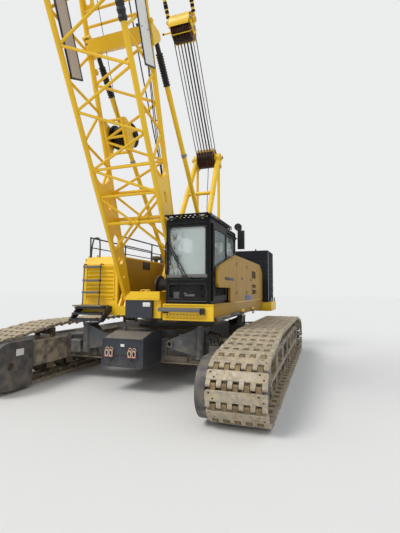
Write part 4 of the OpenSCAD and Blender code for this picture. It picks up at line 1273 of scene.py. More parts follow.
@dataclass
class Carrier:
    """The carbody with its jack arms, carbody weights and track frames."""

    beam_face: float = 1.8
    beam_low: float = 0.45
    beam_high: float = 0.94
    weight_front: float = 2.6
    weight_half: float = 0.43
    weight_low: float = 0.47
    weight_high: float = 0.99
    slope_run: float = 0.42
    slope_rise: float = 0.11
    jack_x: float = 1.91
    jack_y: float = 1.3
    jack_top: float = 1.195
    eye_y: float = 0.68
    eye_z: float = 0.85
    pump_ports: tuple[float, ...] = (1.52, 1.59, 1.66, 1.74)
    frame_out: float = 2.76

    def _shackle(self, form: Form, ring: Vector) -> None:
        """Adds a bow shackle that hangs from a ring on the weight's face.

        Args:
            form: Mesh that it adds to.
            ring: Where the shackle hangs.
        """
        form.paint = 1
        form.lathe([(-0.012, 0.034), (0.0, 0.042), (0.012, 0.034), (0.0, 0.026), (-0.012, 0.034)],
                   ring + Vector((0.012, 0.0, 0.068)), X, 20)
        form.path([ring + Vector((0.034, 0.036 * math.cos(a) * (1.0 if math.sin(a) > 0 else 0.86),
                                  0.062 * math.sin(a)))
                   for a in map(math.radians, range(-60, 241, 20))], 0.01, 8)
        pin = ring + Vector((0.034, 0.0, -0.058))
        form.rod(pin - 0.034 * Y, pin + 0.034 * Y, 0.0095, 10)
        form.paint = 2
        form.rod(pin + 0.030 * Y, pin + 0.044 * Y, 0.0165, 6)
        form.ball(pin - 0.034 * Y, 0.016, 1)

    def _weight(self, form: Form) -> None:
        """Adds the rims, lifting eyes, tread plate and shackles of the front weight.

        Args:
            form: Mesh that it adds to.
        """
        x, y, low, high = self.weight_front, self.weight_half, self.weight_low, self.weight_high
        form.blocks(*((x - 0.004, s * y - 0.014, low + 0.02, x + 0.006, s * y + 0.014, high, 0.004)
                      for s in SIDES),
                    (x - 0.004, -y, high - 0.012, x + 0.007, y, high + 0.006, 0.004))
        slope = Vector((-self.slope_run, 0, self.slope_rise))
        run, up = slope.length, slope.normalized()
        top = axes((x, 0, high), Y, Y.cross(up), up)
        form.paint = 3
        form.block((-y + 0.03, 0.001, 0.02), (y - 0.03, 0.010, run - 0.02), 0.003, at=top)
        for i in range(13):
            for k in range(7):
                spot = (i * (2 * y - 0.13) / 12 + 0.065 - y, 0.010, 0.045 + k * (run - 0.09) / 6)
                form.block((-0.016, 0.0, -0.004), (0.016, 0.004, 0.004),
                           at=top @ tilted(spot, 45 if (i + k) % 2 else -45))
        form.paint = 0
        for s in SIDES:
            form.slabs((0.06, 0.05, 0.007), 0.004, (x - 0.5, s * 0.22, high + 0.115))
            form.lathe([(-0.01, 0.032), (0.0, 0.042), (0.01, 0.032), (0.0, 0.022), (-0.01, 0.032)],
                       (x - 0.5, s * 0.22, high + 0.150), Y, 16)
        for ring_y in (-0.315, -0.225, 0.175, 0.265):
            self._shackle(form, Vector((x + 0.002, ring_y, 0.735)))
        form.paint = 4
        form.block((x + 0.001, -0.035, 0.855), (x + 0.004, 0.045, 0.905), 0.001)
        form.paint = 0
        form.bolts([(x + 0.001, s * (y - 0.05), z) for z in (low + 0.05, high - 0.05) for s in SIDES], X,
                   0.014)

    def _beam(self, form: Form) -> None:
        """Adds the bolts, hoses' ports, pump block and pads on the front beam.

        Args:
            form: Mesh that it adds to.
        """
        x = self.beam_face
        for s in SIDES:
            form.bolts([(x, s * 0.50, z) for z in (0.5, 0.62, 0.74, 0.88)], X)
            for y in (0.47, 1.85):
                form.weld((x, s * y, self.beam_low), (x, s * y, self.beam_high))
        form.blocks((x - 0.02, 1.48, 0.56, x + 0.17, 1.80, 0.86, 0.05, 4),
                    (x - 0.02, 1.54, 0.86, x + 0.10, 1.68, 0.93, 0.02),
                    (x + 0.055, 1.30, 0.455, x + 0.070, 1.86, 0.52, 0.003),
                    (x - 0.02, -1.72, 0.55, x + 0.13, -1.46, 0.83, 0.03, 3))
        for y in self.pump_ports:
            form.rod((x + 0.10, y, 0.85), (x + 0.10, y, 0.905), 0.017, 12, bevel=0.003)
            form.rod((x + 0.10, y, 0.87), (x + 0.10, y, 0.89), 0.023, 6)
        form.paint = 1
        form.slabs((0.0325, 0.695, 0.013), 0.006, *((x + 0.0225, s * 1.165, 0.465) for s in SIDES))
        form.blocks((x - 0.01, 0.50, 0.478, x + 0.012, 1.00, 0.60, 0.006),
                    (x - 0.01, 1.06, 0.478, x + 0.010, 1.44, 0.53, 0.005))

    def _arm_trim(self) -> None:
        """Adds the bright eye bush, the pin head and the bolts of each jack arm."""
        for ex, end in ENDS.items():
            for sy, side in SIDES.items():
                form = Form()
                x, y = ex * self.jack_x, sy * self.jack_y
                form.paint = 1
                for s in SIDES:
                    form.lathe([(0.0, 0.0435), (0.009, 0.0435), (0.009, 0.066), (0.0, 0.072)],
                               (x + s * 0.055, sy * self.eye_y, self.eye_z), s * X, 32)
                form.paint = 0
                form.bolts([(x + ex * 0.035, y - sy * 0.125, z) for z in (0.70, 0.80, 0.90, 1.0, 1.09)],
                           ex * X, 0.012)
                form.slabs((0.012, 0.06, 0.01), 0.004, (x, sy * 0.92, 1.04))
                form.weld((x + ex * 0.036, sy * 1.21, 0.66), (x + ex * 0.036, sy * 1.21, 1.14), 0.006)
                form.made(f"jack_arm_trim_{end}_{side}", f"jack_arm_{end}_{side}", Skin.CARRIER, Skin.STEEL)
                pin, low = Form(), self.jack_top
                pin.rod((x, y, low), (x, y, low + 0.018), 0.055, 24, bevel=0.005)
                pin.rod((x, y, low + 0.018), (x, y, low + 0.027), 0.016, 6)
                pin.block((x - 0.05, y - 0.010, low), (x + 0.085, y + 0.010, low + 0.008), 0.003)
                pin.made(f"jack_pin_{end}_{side}", LOWER, Skin.STEEL)

    def _hoses(self) -> None:
        """Runs hoses from the pump block under the slewing frame and to the track drives."""
        x = self.beam_face
        for i, y in enumerate(self.pump_ports):
            route = [(x + 0.10, y, 0.90), (x + 0.11, y, 0.98), (x + 0.06 - 0.03 * i, y - 0.06, 1.045),
                     (x - 0.30, y - 0.22 - 0.04 * i, 1.03 + 0.012 * i),
                     (x - 0.75, 0.95 - 0.05 * i, 1.03 + 0.012 * i)]
            seat(strands(f"pump_hose_{i}", [curve_points(route, 6)], 0.013), LOWER, Skin.RUBBER)
        for s, name in SIDES.items():
            for k in range(2):
                route = [(-1.30, s * (1.20 - 0.05 * k), 0.985), (-1.62, s * 1.40, 0.975 + 0.03 * k),
                         (-1.84, s * 1.66, 0.98 + 0.02 * k), (-1.98, s * 1.84, 0.965),
                         (-2.30, s * 1.865, 0.78 - 0.05 * k),
                         (-2.85, s * 1.862, 0.62 - 0.05 * k), (-3.10, s * 1.845, 0.58 - 0.05 * k)]
                hose = strands(f"drive_hose_{name}_{k}", [curve_points(route, 6)], 0.013)
                seat(hose, LOWER, Skin.RUBBER)

    def _frames(self, form: Form) -> None:
        """Adds the ribs, bolts and step pads of both track frames, drawn on the left.

        Args:
            form: Mesh that it adds to.
        """
        out = self.frame_out
        for x in (-2.3, -1.38, -0.46, 0.46, 1.38, 2.3):
            form.weld((x - 0.45, out, 0.42), (x - 0.45, out, 0.86), 0.007)
            form.bolts([(x + dx, out - 0.005, 0.83) for dx in (-0.28, 0.28)], Y, 0.016)
        for i in range(9):
            x = (i - 4) * 0.64
            form.bolts([(x + dx, out, z) for z in (0.235, 0.36) for dx in (-0.055, 0.055)], Y, 0.015)
            form.rod((x, out - 0.05, 0.24), (x, out + 0.012, 0.24), 0.040, 20, bevel=0.004)
        for s in SIDES:
            axle = Vector((s * AT.axle_x, out, 0.5))
            form.rod(axle, axle + 0.022 * Y, 0.11, 32, bevel=0.006)
            form.bolts(around(axle + 0.022 * Y, 0.088, range(0, 360, 60)), Y, 0.012)
        form.paint = 2
        form.block((3.07, AT.frame_inner - 0.003, 0.675), (3.25, AT.frame_inner + 0.001, 0.80), 0.001)
        form.paint = 1
        for x in (-1.1, 1.1):
            form.block((x - 0.30, out - 0.30, 0.88), (x + 0.30, out - 0.06, 0.892), 0.003)
            form.slabs((0.0175, 0.006, 0.002), 0.0, *((x - 0.2525 + i * 0.065, out - 0.274 + k * 0.075, 0.894)
                                                      for i in range(9) for k in range(3)))
        form.mirrored(1)

    def _drives(self, form: Form) -> None:
        """Adds the travel drives inboard of the sprockets, drawn on the left.

        Args:
            form: Mesh that it adds to.
        """
        axle = Vector((-AT.axle_x, 1.87, AT.end_radius))
        form.cap([(0.0, 0.24), (0.02, 0.25), (0.10, 0.25), (0.12, 0.23), (0.16, 0.22), (0.18, 0.15),
                  (0.30, 0.14), (0.32, 0.12)], axle, -Y, 40)
        form.bolts(around(axle - 0.105 * Y, 0.225, (22.5 * k for k in range(16))), -Y, 0.013)
        form.mirrored(1)

    def build(self) -> None:
        """Makes every piece of the undercarriage but the tracks."""
        dress(Skin.CARRIER, "carbody", *(f"jack_arm_{end}_{side}" for end in ENDS.values()
                                         for side in SIDES.values()))
        dress(Skin.FRAME, "track_frame_left", "track_frame_right")
        dress(Skin.SLATE, "carbody_weight_front", "carbody_weight_rear")
        dress(Skin.WHEEL, "idlers", "sprockets", "lower_rollers", "carrier_rollers")
        dress(Skin.GREASED, "slew_bearing")
        shaped("front_weight_trim", LOWER, (Skin.SLATE, Skin.BOW, Skin.PINK, Skin.TREAD, Skin.PLATE),
               self._weight)
        shaped("beam_fittings", LOWER, (Skin.CARRIER, Skin.SOILED), self._beam)
        shaped("track_frame_trim", LOWER, (Skin.FRAME, Skin.TREAD, Skin.PLATE), self._frames)
        shaped("travel_drives", LOWER, (Skin.CARRIER,), self._drives)
        self._arm_trim()
        self._hoses()


# Superstructure


@dataclass
class Deck:
    """The slewing frame's decks, with the fairing beside the cab and what is fixed to their faces."""

    front: float = 2.43
    rear: float = -2.85
    half: float = 1.73
    fairing_out: float = 1.742
    cab_in: float = 0.765
    nose_front: float = 2.19
    nose_low: float = 1.715
    nose_high: float = 1.887
    roof: float = 2.69
    right_face: float = -1.713
    grille_face: float = 1.562
    vents: tuple[tuple[float, float], ...] = ((1.82, 1.93), (1.99, 2.07), (2.25, 2.44))
    vent_x: tuple[float, float] = (-1.63, -1.10)
    panels: tuple[tuple[float, float], ...] = ((-1.835, -0.435), (-0.405, 0.675), (0.705, 1.22))
    shoulder: tuple[tuple[float, float], ...] = ((2.186, 2.05), (2.186, 2.27), (1.985, 2.38), (0.775, 2.682),
                                                 (-2.36, 2.682), (-2.79, 2.512))

    def _front_face(self, form: Form) -> None:
        """Adds the lip, a row of shallow dark dishes whose dark colour paints the shade of holes, the bolts
        and the step on the front of the cab's deck.

        Args:
            form: Mesh that it adds to.
        """
        x, low, high = self.front, AT.deck_low, AT.deck_top
        form.blocks((x - 0.01, self.cab_in, low + 0.004, x + 0.012, self.half - 0.004, low + 0.03, 0.005),
                    (x - 0.02, self.cab_in, high - 0.022, x + 0.014, self.half - 0.004, high + 0.004, 0.006))
        form.bolts([(x, y, low + 0.055) for y in (0.80, 1.66)], X, 0.013)
        form.paint = 1
        # Shallow dark dishes stand for holes; their dark colour is painted shade.
        for i in range(12):
            form.lathe([(0.0, 0.0), (0.001, 0.006), (0.002, 0.006), (0.002, 0.009), (0.0, 0.010)],
                       (x, 0.84 + 0.065 * i, 1.468), X, 12)
        form.blocks((x, 1.485, 1.480, x + 0.060, 1.575, 1.595, 0.010),
                    (x, 0.76, 1.490, x + 0.050, 0.86, 1.560, 0.010))
        form.paint = 3
        form.block((x + 0.036, 0.695, 1.524), (x + 0.116, 1.505, 1.594), 0.008)
        form.slabs((0.032, 0.006, 0.002), 0.001, *((x + 0.076, 0.726 + 0.05 * i, 1.596) for i in range(16)))

    def _nose(self, form: Form) -> None:
        """Adds the hinges, grip, slot rim and bolts of the cover and of the box between the boom's feet.

        Args:
            form: Mesh that it adds to.
        """
        x, low, high = self.nose_front, self.nose_low, self.nose_high
        form.block((x - 0.012, -0.185, low + 0.004), (x + 0.006, 0.555, low + 0.018), 0.003)
        form.bolts([(x, y, z) for y in (-0.10, 0.52) for z in (1.745, 1.835)], X, 0.010)
        for y in (-0.02, 0.40):
            form.rod((1.70, y, high + 0.004), (1.70, y + 0.07, high + 0.004), 0.011, 10)
            form.block((1.70, y, high), (1.76, y + 0.07, high + 0.004), 0.0015)
        form.rod((2.10, 0.10, high + 0.030), (2.10, 0.30, high + 0.030), 0.008, 10)
        for y in (0.10, 0.30):
            form.rod((2.10, y, high), (2.10, y, high + 0.033), 0.008, 10)
        form.paint = 2
        form.blocks((x + 0.004, -0.186, 1.688, x + 0.016, 0.396, 1.712, 0.003),
                    (x + 0.006, -0.180, 1.372, x + 0.013, 0.390, 1.384, 0.002))
        form.paint = 4
        form.block((x + 0.011, 0.205, 1.590), (x + 0.014, 0.365, 1.672), 0.001)

    def _side_face(self, form: Form) -> None:
        """Adds the side plate, whose darker yellow is painted shade with a little dust, the step strips and
        the irons on the left side of the deck.

        Args:
            form: Mesh that it adds to.
        """
        y, low, high, rear, front = self.half, AT.deck_low, AT.deck_top, self.rear, self.front
        # The side plate and the step strips are in the darker yellow, as painted shade.
        form.blocks((rear + 0.03, y - 0.004, low + 0.026, front - 0.01, y + 0.006, high - 0.020, 0.002),
                    (rear + 0.02, y - 0.004, low, front - 0.02, y + 0.010, low + 0.028, 0.004),
                    (0.80, y - 0.004, high - 0.024, front - 0.02, y + 0.012, high + 0.002, 0.005))
        form.paint = 3
        form.block((1.34, y, 1.352), (2.30, y + 0.050, 1.424), 0.006)
        form.paint = 1
        form.blocks((0.46, y, 1.356, 1.33, y + 0.046, 1.430, 0.008),
                    (2.31, y, 1.356, 2.385, y + 0.040, 1.426, 0.006),
                    (1.66, y + 0.046, 1.376, 1.98, y + 0.056, 1.404, 0.003))
        form.paint = 2
        for x in (-1.08, 0.18):
            form.slabs((0.008, 0.024, 0.03), 0.003, (x - 0.10, y + 0.024, 1.39), (x + 0.10, y + 0.024, 1.39))
            form.block((x - 0.12, y + 0.040, 1.300), (x + 0.12, y + 0.052, 1.365), 0.004)

    def _fairing(self, form: Form) -> None:
        """Adds louvres, panel frames, hinges, latches, blank labels and the front lip of the fairing.

        Args:
            form: Mesh that it adds to.
        """
        y = self.fairing_out
        back, face = y - 0.006, y + 0.006
        low, high = self.vent_x
        for bottom, top in self.vents:
            form.paint = 0
            form.blocks(*((low - 0.018, back, z, high + 0.018, face, z + 0.018, 0.003)
                          for z in (bottom - 0.018, top)),
                        *((x, back, bottom, x + 0.018, face, top, 0.003) for x in (low - 0.018, high)))
            count = max(2, round((top - bottom) / 0.042))
            form.paint = 2
            for i in range(count):
                z = bottom + (i + 0.5) * (top - bottom) / count
                form.block((low, -0.016, -0.002), (high, 0.016, 0.002), at=tilted((0, y - 0.012, z), 38, "X"))
        form.paint = 0
        form.blocks(*((a, y - 0.003, z, b, y + 0.004, z + 0.008, 0.002) for a, b in self.panels
                      for z in (1.725, 2.612)))
        for x in (-1.79, -0.48, -0.36, 0.63, 0.75):
            for z in (1.86, 2.50):
                form.rod((x, y + 0.002, z - 0.035), (x, y + 0.002, z + 0.035), 0.007, 10)
                form.slabs((0.016, 0.0015, 0.03), 0.001, (x, y + 0.0015, z))
        form.path([(x, y - 0.025, z) for x, z in self.shoulder], 0.022, 12, 0.005)
        form.bolts([(x, y, 2.005) for x in (1.34, 1.70, 2.08)] + [(x, y, 2.30) for x in (1.34, 1.70, 2.06)],
                   Y, 0.010)
        form.paint = 1
        for x in (-0.98, 0.135):
            form.blocks((x - 0.045, y, 2.165, x + 0.045, y + 0.007, 2.225, 0.003),
                        (x - 0.028, face, 2.186, x + 0.034, y + 0.016, 2.204, 0.004))
        form.paint = 3
        form.block((-0.95, y, 1.665), (-0.27, y + 0.004, 1.800), 0.0015)
        form.paint = 2
        form.block((0.94, y, 2.12), (1.69, y + 0.003, 2.18), 0.001)

    def _roof(self, form: Form) -> None:
        """Adds tread strips, lifting eyes, the exhaust and the air intake on the tops of the housings.

        Args:
            form: Mesh that it adds to.
        """
        top = self.roof
        for x, y in ((-2.55, 0.95), (-2.55, 1.55), (0.2, 0.9), (-2.6, -0.95), (-2.6, -1.55),
                     (1.25, -0.95), (1.25, -1.55)):
            form.plate([(-0.035, 0.0), (0.035, 0.0), (0.028, 0.045), (0.012, 0.062), (-0.012, 0.062),
                        (-0.028, 0.045)],
                       0.012, axes((x, y, top), X, Z, Y), [(0.0, 0.036, 0.013)])
        form.paint = 1
        form.slabs((0.055, 0.395, 0.002), 0.001,
                   *((-2.145 + 0.15 * i, 1.225, top + 0.002) for i in range(16)))
        form.slabs((0.0625, 0.41, 0.002), 0.001,
                   *((-2.6875 + 0.165 * i, -1.25, top + 0.002) for i in range(24)))
        form.paint = 2
        pipe = Vector((-2.1, -1.35, top))
        form.lathe([(0.0, 0.11), (0.02, 0.11), (0.03, 0.075), (0.42, 0.075), (0.42, 0.068), (0.10, 0.066)],
                   pipe, Z, 24)
        form.lathe([(0.14, 0.088), (0.36, 0.088), (0.37, 0.078), (0.13, 0.078), (0.14, 0.088)], pipe, Z, 24)
        form.rod(pipe + Vector((-0.03, 0, 0.41)), pipe + Vector((0.15, 0, 0.52)), 0.074, 20, bevel=0.004)
        form.lathe([(0.0, 0.06), (0.16, 0.06), (0.16, 0.13), (0.19, 0.15), (0.25, 0.145), (0.28, 0.10),
                    (0.285, 0.0)],
                   (-1.5, -1.35, top), Z, 28)

    def _right_side(self, form: Form) -> None:
        """Adds door frames, handles, hinges and the front grille of the right housing, and on its inner face
        a darker yellow sheet as the painted shadow of the boom and a dark sheet as the painted shade of an
        opening.

        Args:
            form: Mesh that it adds to.
        """
        y, x = self.right_face, self.grille_face
        form.slabs((0.008, 0.006, 0.45), 0.003, *((-2.53 + 0.56 * i, y + 0.006, 2.15) for i in range(7)))
        form.blocks(*((-2.80, y, z, 1.50, y + 0.012, z + 0.030, 0.004) for z in (1.655, 2.610)),
                    *((x - 0.004, -1.62, z, x + 0.012, -0.86, z + 0.022, 0.004) for z in (1.70, 2.44)),
                    *((x - 0.004, edge, 1.70, x + 0.012, edge + 0.022, 2.46, 0.004)
                      for edge in (-1.62, -0.882)))
        for i in range(8):
            form.block((-0.030, -1.60, -0.003), (0.026, -0.88, 0.003),
                       at=tilted((x - 0.006, 0, 1.7625 + 0.09 * i), -52))
        form.paint = 2
        for i in range(6):
            door = -2.53 + 0.56 * i
            form.block((door + 0.44, y - 0.010, 2.50), (door + 0.53, y + 0.004, 2.55), 0.003)
            for z in (1.80, 2.45):
                form.rod((door + 0.022, y - 0.004, z - 0.035), (door + 0.022, y - 0.004, z + 0.035), 0.009,
                         10)
        # A dark sheet on the inner face, as the painted shade of an opening.
        form.block((0.01, -0.782, 2.44), (0.41, -0.775, 2.64), 0.003)
        # A darker yellow sheet over the inner face, as the painted shadow of the boom.
        form.paint = 3
        form.block((-2.80, -0.786, 1.70), (1.50, -0.780, 2.66), 0.002)

    def _ladder(self, form: Form) -> None:
        """Adds the ladder with tread rungs and the soiled platform in front of the right housing.

        Args:
            form: Mesh that it adds to.
        """
        low, high, near, far, foot, lean = 1.55, 2.50, -1.17, -1.61, 1.70, 0.05
        for y in (near, far):
            form.path([(foot, y, low), (foot - lean, y, high), (1.565, y, high)], 0.012, 10)
        form.paint = 1
        form.slabs((0.055, (near - far) / 2, 0.022), 0.005,
                   *((foot - lean * (z - low) / (high - low), (near + far) / 2, z)
                     for z in (1.86, 2.13, 2.44)))
        form.paint = 2
        form.block((1.60, -1.70, 1.548), (1.93, -0.97, 1.580), 0.006)

    def _feet(self, form: Form) -> None:
        """Adds the pin heads, keepers and weld beads at the boom's feet and at the backstops' feet.

        Args:
            form: Mesh that it adds to.
        """
        foot_x, foot_z = AT.foot
        for s in SIDES:
            pin = Vector((foot_x, s * 0.75, foot_z))
            form.paint = 2
            form.cap([(0.0, 0.062), (0.010, 0.068), (0.030, 0.068), (0.036, 0.060)], pin, s * Y, 28)
            form.block(pin + Vector((0.03, -0.012, 0.055)), pin + Vector((0.11, 0.012, 0.085)), 0.003)
            form.cap([(0.0, 0.045), (0.016, 0.045), (0.020, 0.038)], (-1.33, s * 0.72, 1.98), s * Y, 24)
            form.paint = 0
            for y, way in ((0.56, -s), (0.74, s)):
                form.lathe([(0.0, 0.050), (0.008, 0.050), (0.008, 0.085), (0.0, 0.090)],
                           (foot_x, s * y, foot_z), way * Y, 28)
            form.weld((foot_x - 0.48, s * 0.745, 1.563), (foot_x + 0.24, s * 0.745, 1.563), 0.009)

    def _rails(self, form: Form) -> None:
        """Adds the feet of the handrails and the treads of the access ladder.

        Args:
            form: Mesh that it adds to.
        """
        for y in (-1.67, -0.845):
            for x in (-1.8, -0.22, 1.36):
                form.lathe([(0.0, 0.0), (0.0, 0.045), (0.012, 0.045), (0.012, 0.024), (0.05, 0.019)],
                           (x, y, self.roof), Z, 20)
                form.bolts([(x + dx, y, self.roof + 0.012) for dx in (-0.034, 0.034)], Z, 0.008)
        form.slabs((0.1125, 0.011, 0.003), 0.002, *((1.7525 + 0.09 * i, 0.075 * k - 1.609, 1.543 - 0.125 * i)
                                                    for i in range(3) for k in range(9)))

    def build(self) -> None:
        """Makes the trim of the decks and housings."""
        dress(Skin.YELLOW, "slewing_frame", "right_housing")
        # The left housing takes the darker copy of the yellow paint as painted shade.
        dress(Skin.SHADED_YELLOW, "left_housing")
        dress(Skin.PLASTIC, "front_step")
        dress(Skin.SLATE, "tool_box", "access_ladder", "handrails", "main_winch",
              "aux_winch", "luffing_winch")
        shaped("deck_front_trim", UPPER, (Skin.YELLOW, Skin.PLASTIC, Skin.SLATE, Skin.TREAD, Skin.PLATE),
               self._front_face, self._nose)
        shaped("deck_side_trim", UPPER, (Skin.SHADED_YELLOW, Skin.SLATE, Skin.STEEL, Skin.SOILED), self._side_face)
        shaped("fairing_trim", UPPER, (Skin.SHADED_YELLOW, Skin.SLATE, Skin.PLASTIC, Skin.BLUE_PLATE), self._fairing)
        shaped("housing_roof_trim", UPPER, (Skin.YELLOW, Skin.TREAD, Skin.WHEEL), self._roof)
        shaped("right_housing_trim", UPPER, (Skin.YELLOW, Skin.SLATE, Skin.PLASTIC, Skin.SHADED_YELLOW),
               self._right_side)
        shaped("boom_foot_trim", UPPER, (Skin.YELLOW, Skin.SLATE, Skin.STEEL), self._feet)
        shaped("handrail_feet", UPPER, (Skin.SLATE,), self._rails)
        shaped("housing_ladder", UPPER, (Skin.SLATE, Skin.TREAD, Skin.SOILED), self._ladder)
        loop = [(1.40, -1.62, 2.68), (1.39, -1.61, 2.90), (1.375, -1.58, 3.10), (1.37, -1.53, 3.145),
                (1.37, -1.46, 3.145), (1.375, -1.41, 3.10), (1.39, -1.385, 2.90), (1.40, -1.38, 2.68)]
        seat(strands("hand_loop", [curve_points(loop, 5)], 0.017, 12), UPPER, Skin.SLATE)


@dataclass
class Ballast:
    """The counterweight's trim: its yellow tray, lifting lugs, keys, bolts and rear lamps."""

    front: float = -2.95
    rear: float = -4.35
    half: float = 1.905
    low: float = 1.55
    tray_low: float = 1.27
    tray_inner: float = 0.64
    slab: float = 0.277
    slabs: int = 6

    def _trim(self, form: Form) -> None:
        """Adds the tray's plating and the fittings of the slabs, drawn on the left.

        Args:
            form: Mesh that it adds to.
        """
        front, rear, half, low = self.front, self.rear, self.half, self.low
        top = low + self.slabs * self.slab - 0.008
        form.paint = 1
        x0, x1, y0, y1 = rear + 0.244, front - 0.014, self.tray_inner - 0.004, half + 0.096
        z0, z1 = self.tray_low - 0.004, low - 0.006
        form.blocks((x1 - 0.008, y0, z0, x1, y1, z1, 0.003), (x0, y0, z0, x0 + 0.008, y1, z1, 0.003),
                    (x0, y1 - 0.008, z0, x1, y1, z1, 0.003), (x0, y0, z0 - 0.002, x1, y1, z0 + 0.006, 0.003),
                    (x0, half + 0.002, z1, x1, y1, z1 + 0.008, 0.003))
        form.slabs((0.012, 0.004, 0.115), 0.003,
                   *((x0 + dx, y1 + 0.002, 1.405) for dx in (0.156, 0.556, 0.956)))
        form.bolts([(x1, y, self.tray_low + 0.05) for y in (0.75, 1.05, 1.35, 1.65, 1.90)], X, 0.014)
        form.paint = 2
        for x in (-3.2, -3.9):
            form.plate([(-0.07, 0.0), (0.07, 0.0), (0.06, 0.09), (0.025, 0.13), (-0.025, 0.13),
                        (-0.06, 0.09)],
                       0.03, axes((x, half + 0.06, low), X, Z, Y), [(0.0, 0.075, 0.028)], 0.004)
        form.paint = 0
        for i in range(self.slabs):
            z = low + i * self.slab
            for x in (-3.45, -4.0):
                form.cap([(0.0, 0.040), (0.010, 0.034)], (x, half - 0.002, z + 0.14), Y, 20)
            form.bolts([(front, y, z + 0.13) for y in (0.9, 1.75)], X, 0.016)
            form.weld((front - 0.001, 0.70, z + 0.004), (front - 0.001, 1.86, z + 0.004), 0.004)
        for x in (-3.35, -4.0):
            for y in (0.55, 1.45):
                form.lathe([(-0.014, 0.050), (0.0, 0.064), (0.014, 0.050), (0.0, 0.036), (-0.014, 0.050)],
                           (x, y, top + 0.045), Y, 20)
                form.slabs((0.09, 0.05, 0.007), 0.004, (x, y, top + 0.003))
        # A bright strip behind the front edge of the side, as a painted highlight of that edge.
        form.paint = 5
        form.block((front - 0.075, half - 0.003, low + 0.03), (front - 0.045, half + 0.008, top - 0.04),
                   0.003)
        form.paint = 3
        form.block((rear - 0.004, 1.30, 1.78), (rear + 0.004, 1.62, 1.90), 0.003)
        form.paint = 4
        form.block((rear - 0.022, 1.50, 1.66), (rear + 0.01, 1.66, 1.74), 0.008)
        form.mirrored(1)

    def build(self) -> None:
        """Makes the counterweight's trim."""
        dress(Skin.WEIGHT, "counterweight")
        shaped("counterweight_trim", UPPER, (Skin.WEIGHT, Skin.YELLOW, Skin.STEEL, Skin.PLATE, Skin.AMBER,
                                             Skin.GALVANISED),
               self._trim)


@dataclass
class Mast:
    """The gantry: its pins, welds, rope guards and the rope that leads up to it."""

    foot: tuple[float, float, float] = (0.0, 0.52, 1.74)
    top_y: float = 0.37
    cheek: float = 0.515
    boss: float = 0.455

    def _trim(self, form: Form) -> None:
        """Adds the fittings of the legs and the head, drawn on the left, and the rope guards.

        Args:
            form: Mesh that it adds to.
        """
        x, z = AT.gantry
        foot, head = Vector(self.foot), Vector((x, self.top_y, z))
        boss = Vector((x, self.boss, z))
        form.lathe([(0.0, 0.072), (0.012, 0.072), (0.018, 0.100), (0.0, 0.110)], boss, Y, 32)
        form.bolts(around(boss, 0.125, range(30, 360, 60)), Y, 0.012)
        for share in (0.42, 0.7):
            c = foot.lerp(head, share)
            form.lathe([(0.0, 0.055), (0.0, 0.066), (0.012, 0.060), (0.014, 0.055)], c - 0.078 * Y, -Y, 20)
            form.lathe([(-0.10, 0.080), (-0.10, 0.085), (0.10, 0.085), (0.10, 0.080)], c, head - foot, 24)
        step = foot.lerp(head, 0.36)
        form.path([step + Vector(p) for p in ((0.02, 0.06, 0), (0.02, 0.16, 0.05), (0.02, 0.16, 0.11))],
                  0.014, 12)
        form.paint = 1
        form.cap([(0.0, 0.048), (0.012, 0.048), (0.012, 0.030), (0.03, 0.028)], (x, self.cheek, z), Y, 24)
        form.cap([(0.0, 0.046), (0.016, 0.046), (0.020, 0.038)], foot + 0.112 * Y, Y, 24)
        form.cap([(0.0, 0.040), (0.016, 0.040), (0.020, 0.032)], (-2.6, 0.447, foot.z), Y, 24)
        form.cap([(0.0, 0.040), (0.012, 0.040), (0.016, 0.032)], (x - 0.07, 0.447, z - 0.26), Y, 24)
        form.mirrored(1)
        form.paint = 0
        form.guards(lambda out, up, y: Vector((x + out, y, z + up)), (28, 50, 142, 200), 0.33, 0.29)

    def build(self) -> None:
        """Makes the gantry's trim and runs the luffing rope from its winch to the gantry's head."""
        dress(Skin.YELLOW, "gantry_front_legs", "gantry_rear_legs")
        dress(Skin.SHEAVE, "gantry_sheaves")
        shaped("gantry_trim", UPPER, (Skin.YELLOW, Skin.STEEL), self._trim)
        lead = straight((-2.405, -0.06, 1.99), (AT.gantry[0] - 0.28, -0.05, AT.gantry[1]), 12)
        seat(strands("luffing_rope_lead", [lead], 0.011), UPPER, Skin.ROPE)


@dataclass
class Winch:
    """The rope wound on a winch, with the bolts and teeth of its flanges."""

    name: str
    x: float
    z: float = 1.96
    core: float = 0.188
    layer: float = 0.237
    half: float = 0.2425
    turns: int = 20
    flange: float = 0.281

    def _rope(self, form: Form) -> None:
        """Adds the wound rope.

        Args:
            form: Mesh that it adds to.
        """
        step = 2 * self.half / self.turns
        rims = [(0.0, self.layer - 0.008), (0.3 * step, self.layer), (0.7 * step, self.layer)]
        form.winding(self.half, self.turns, step, self.core, rims, (self.x, 0, self.z), 40)

    def _flanges(self, form: Form) -> None:
        """Adds the fittings of both flanges.

        Args:
            form: Mesh that it adds to.
        """
        for s in SIDES:
            form.bolts(around((self.x, s * self.flange, self.z), 0.26, range(0, 360, 30)), s * Y, 0.011)
            form.lathe([(0.0, 0.07), (0.0, 0.14), (0.030, 0.13), (0.034, 0.11), (0.034, 0.07)],
                       (self.x, s * 0.321, self.z), s * Y, 28)

    def build(self) -> None:
        """Makes the wound rope and the flange fittings."""
        shaped(f"{self.name}_rope", UPPER, (Skin.DRUM_ROPE,), self._rope)
        shaped(f"{self.name}_trim", UPPER, (Skin.SLATE,), self._flanges)


# Cab


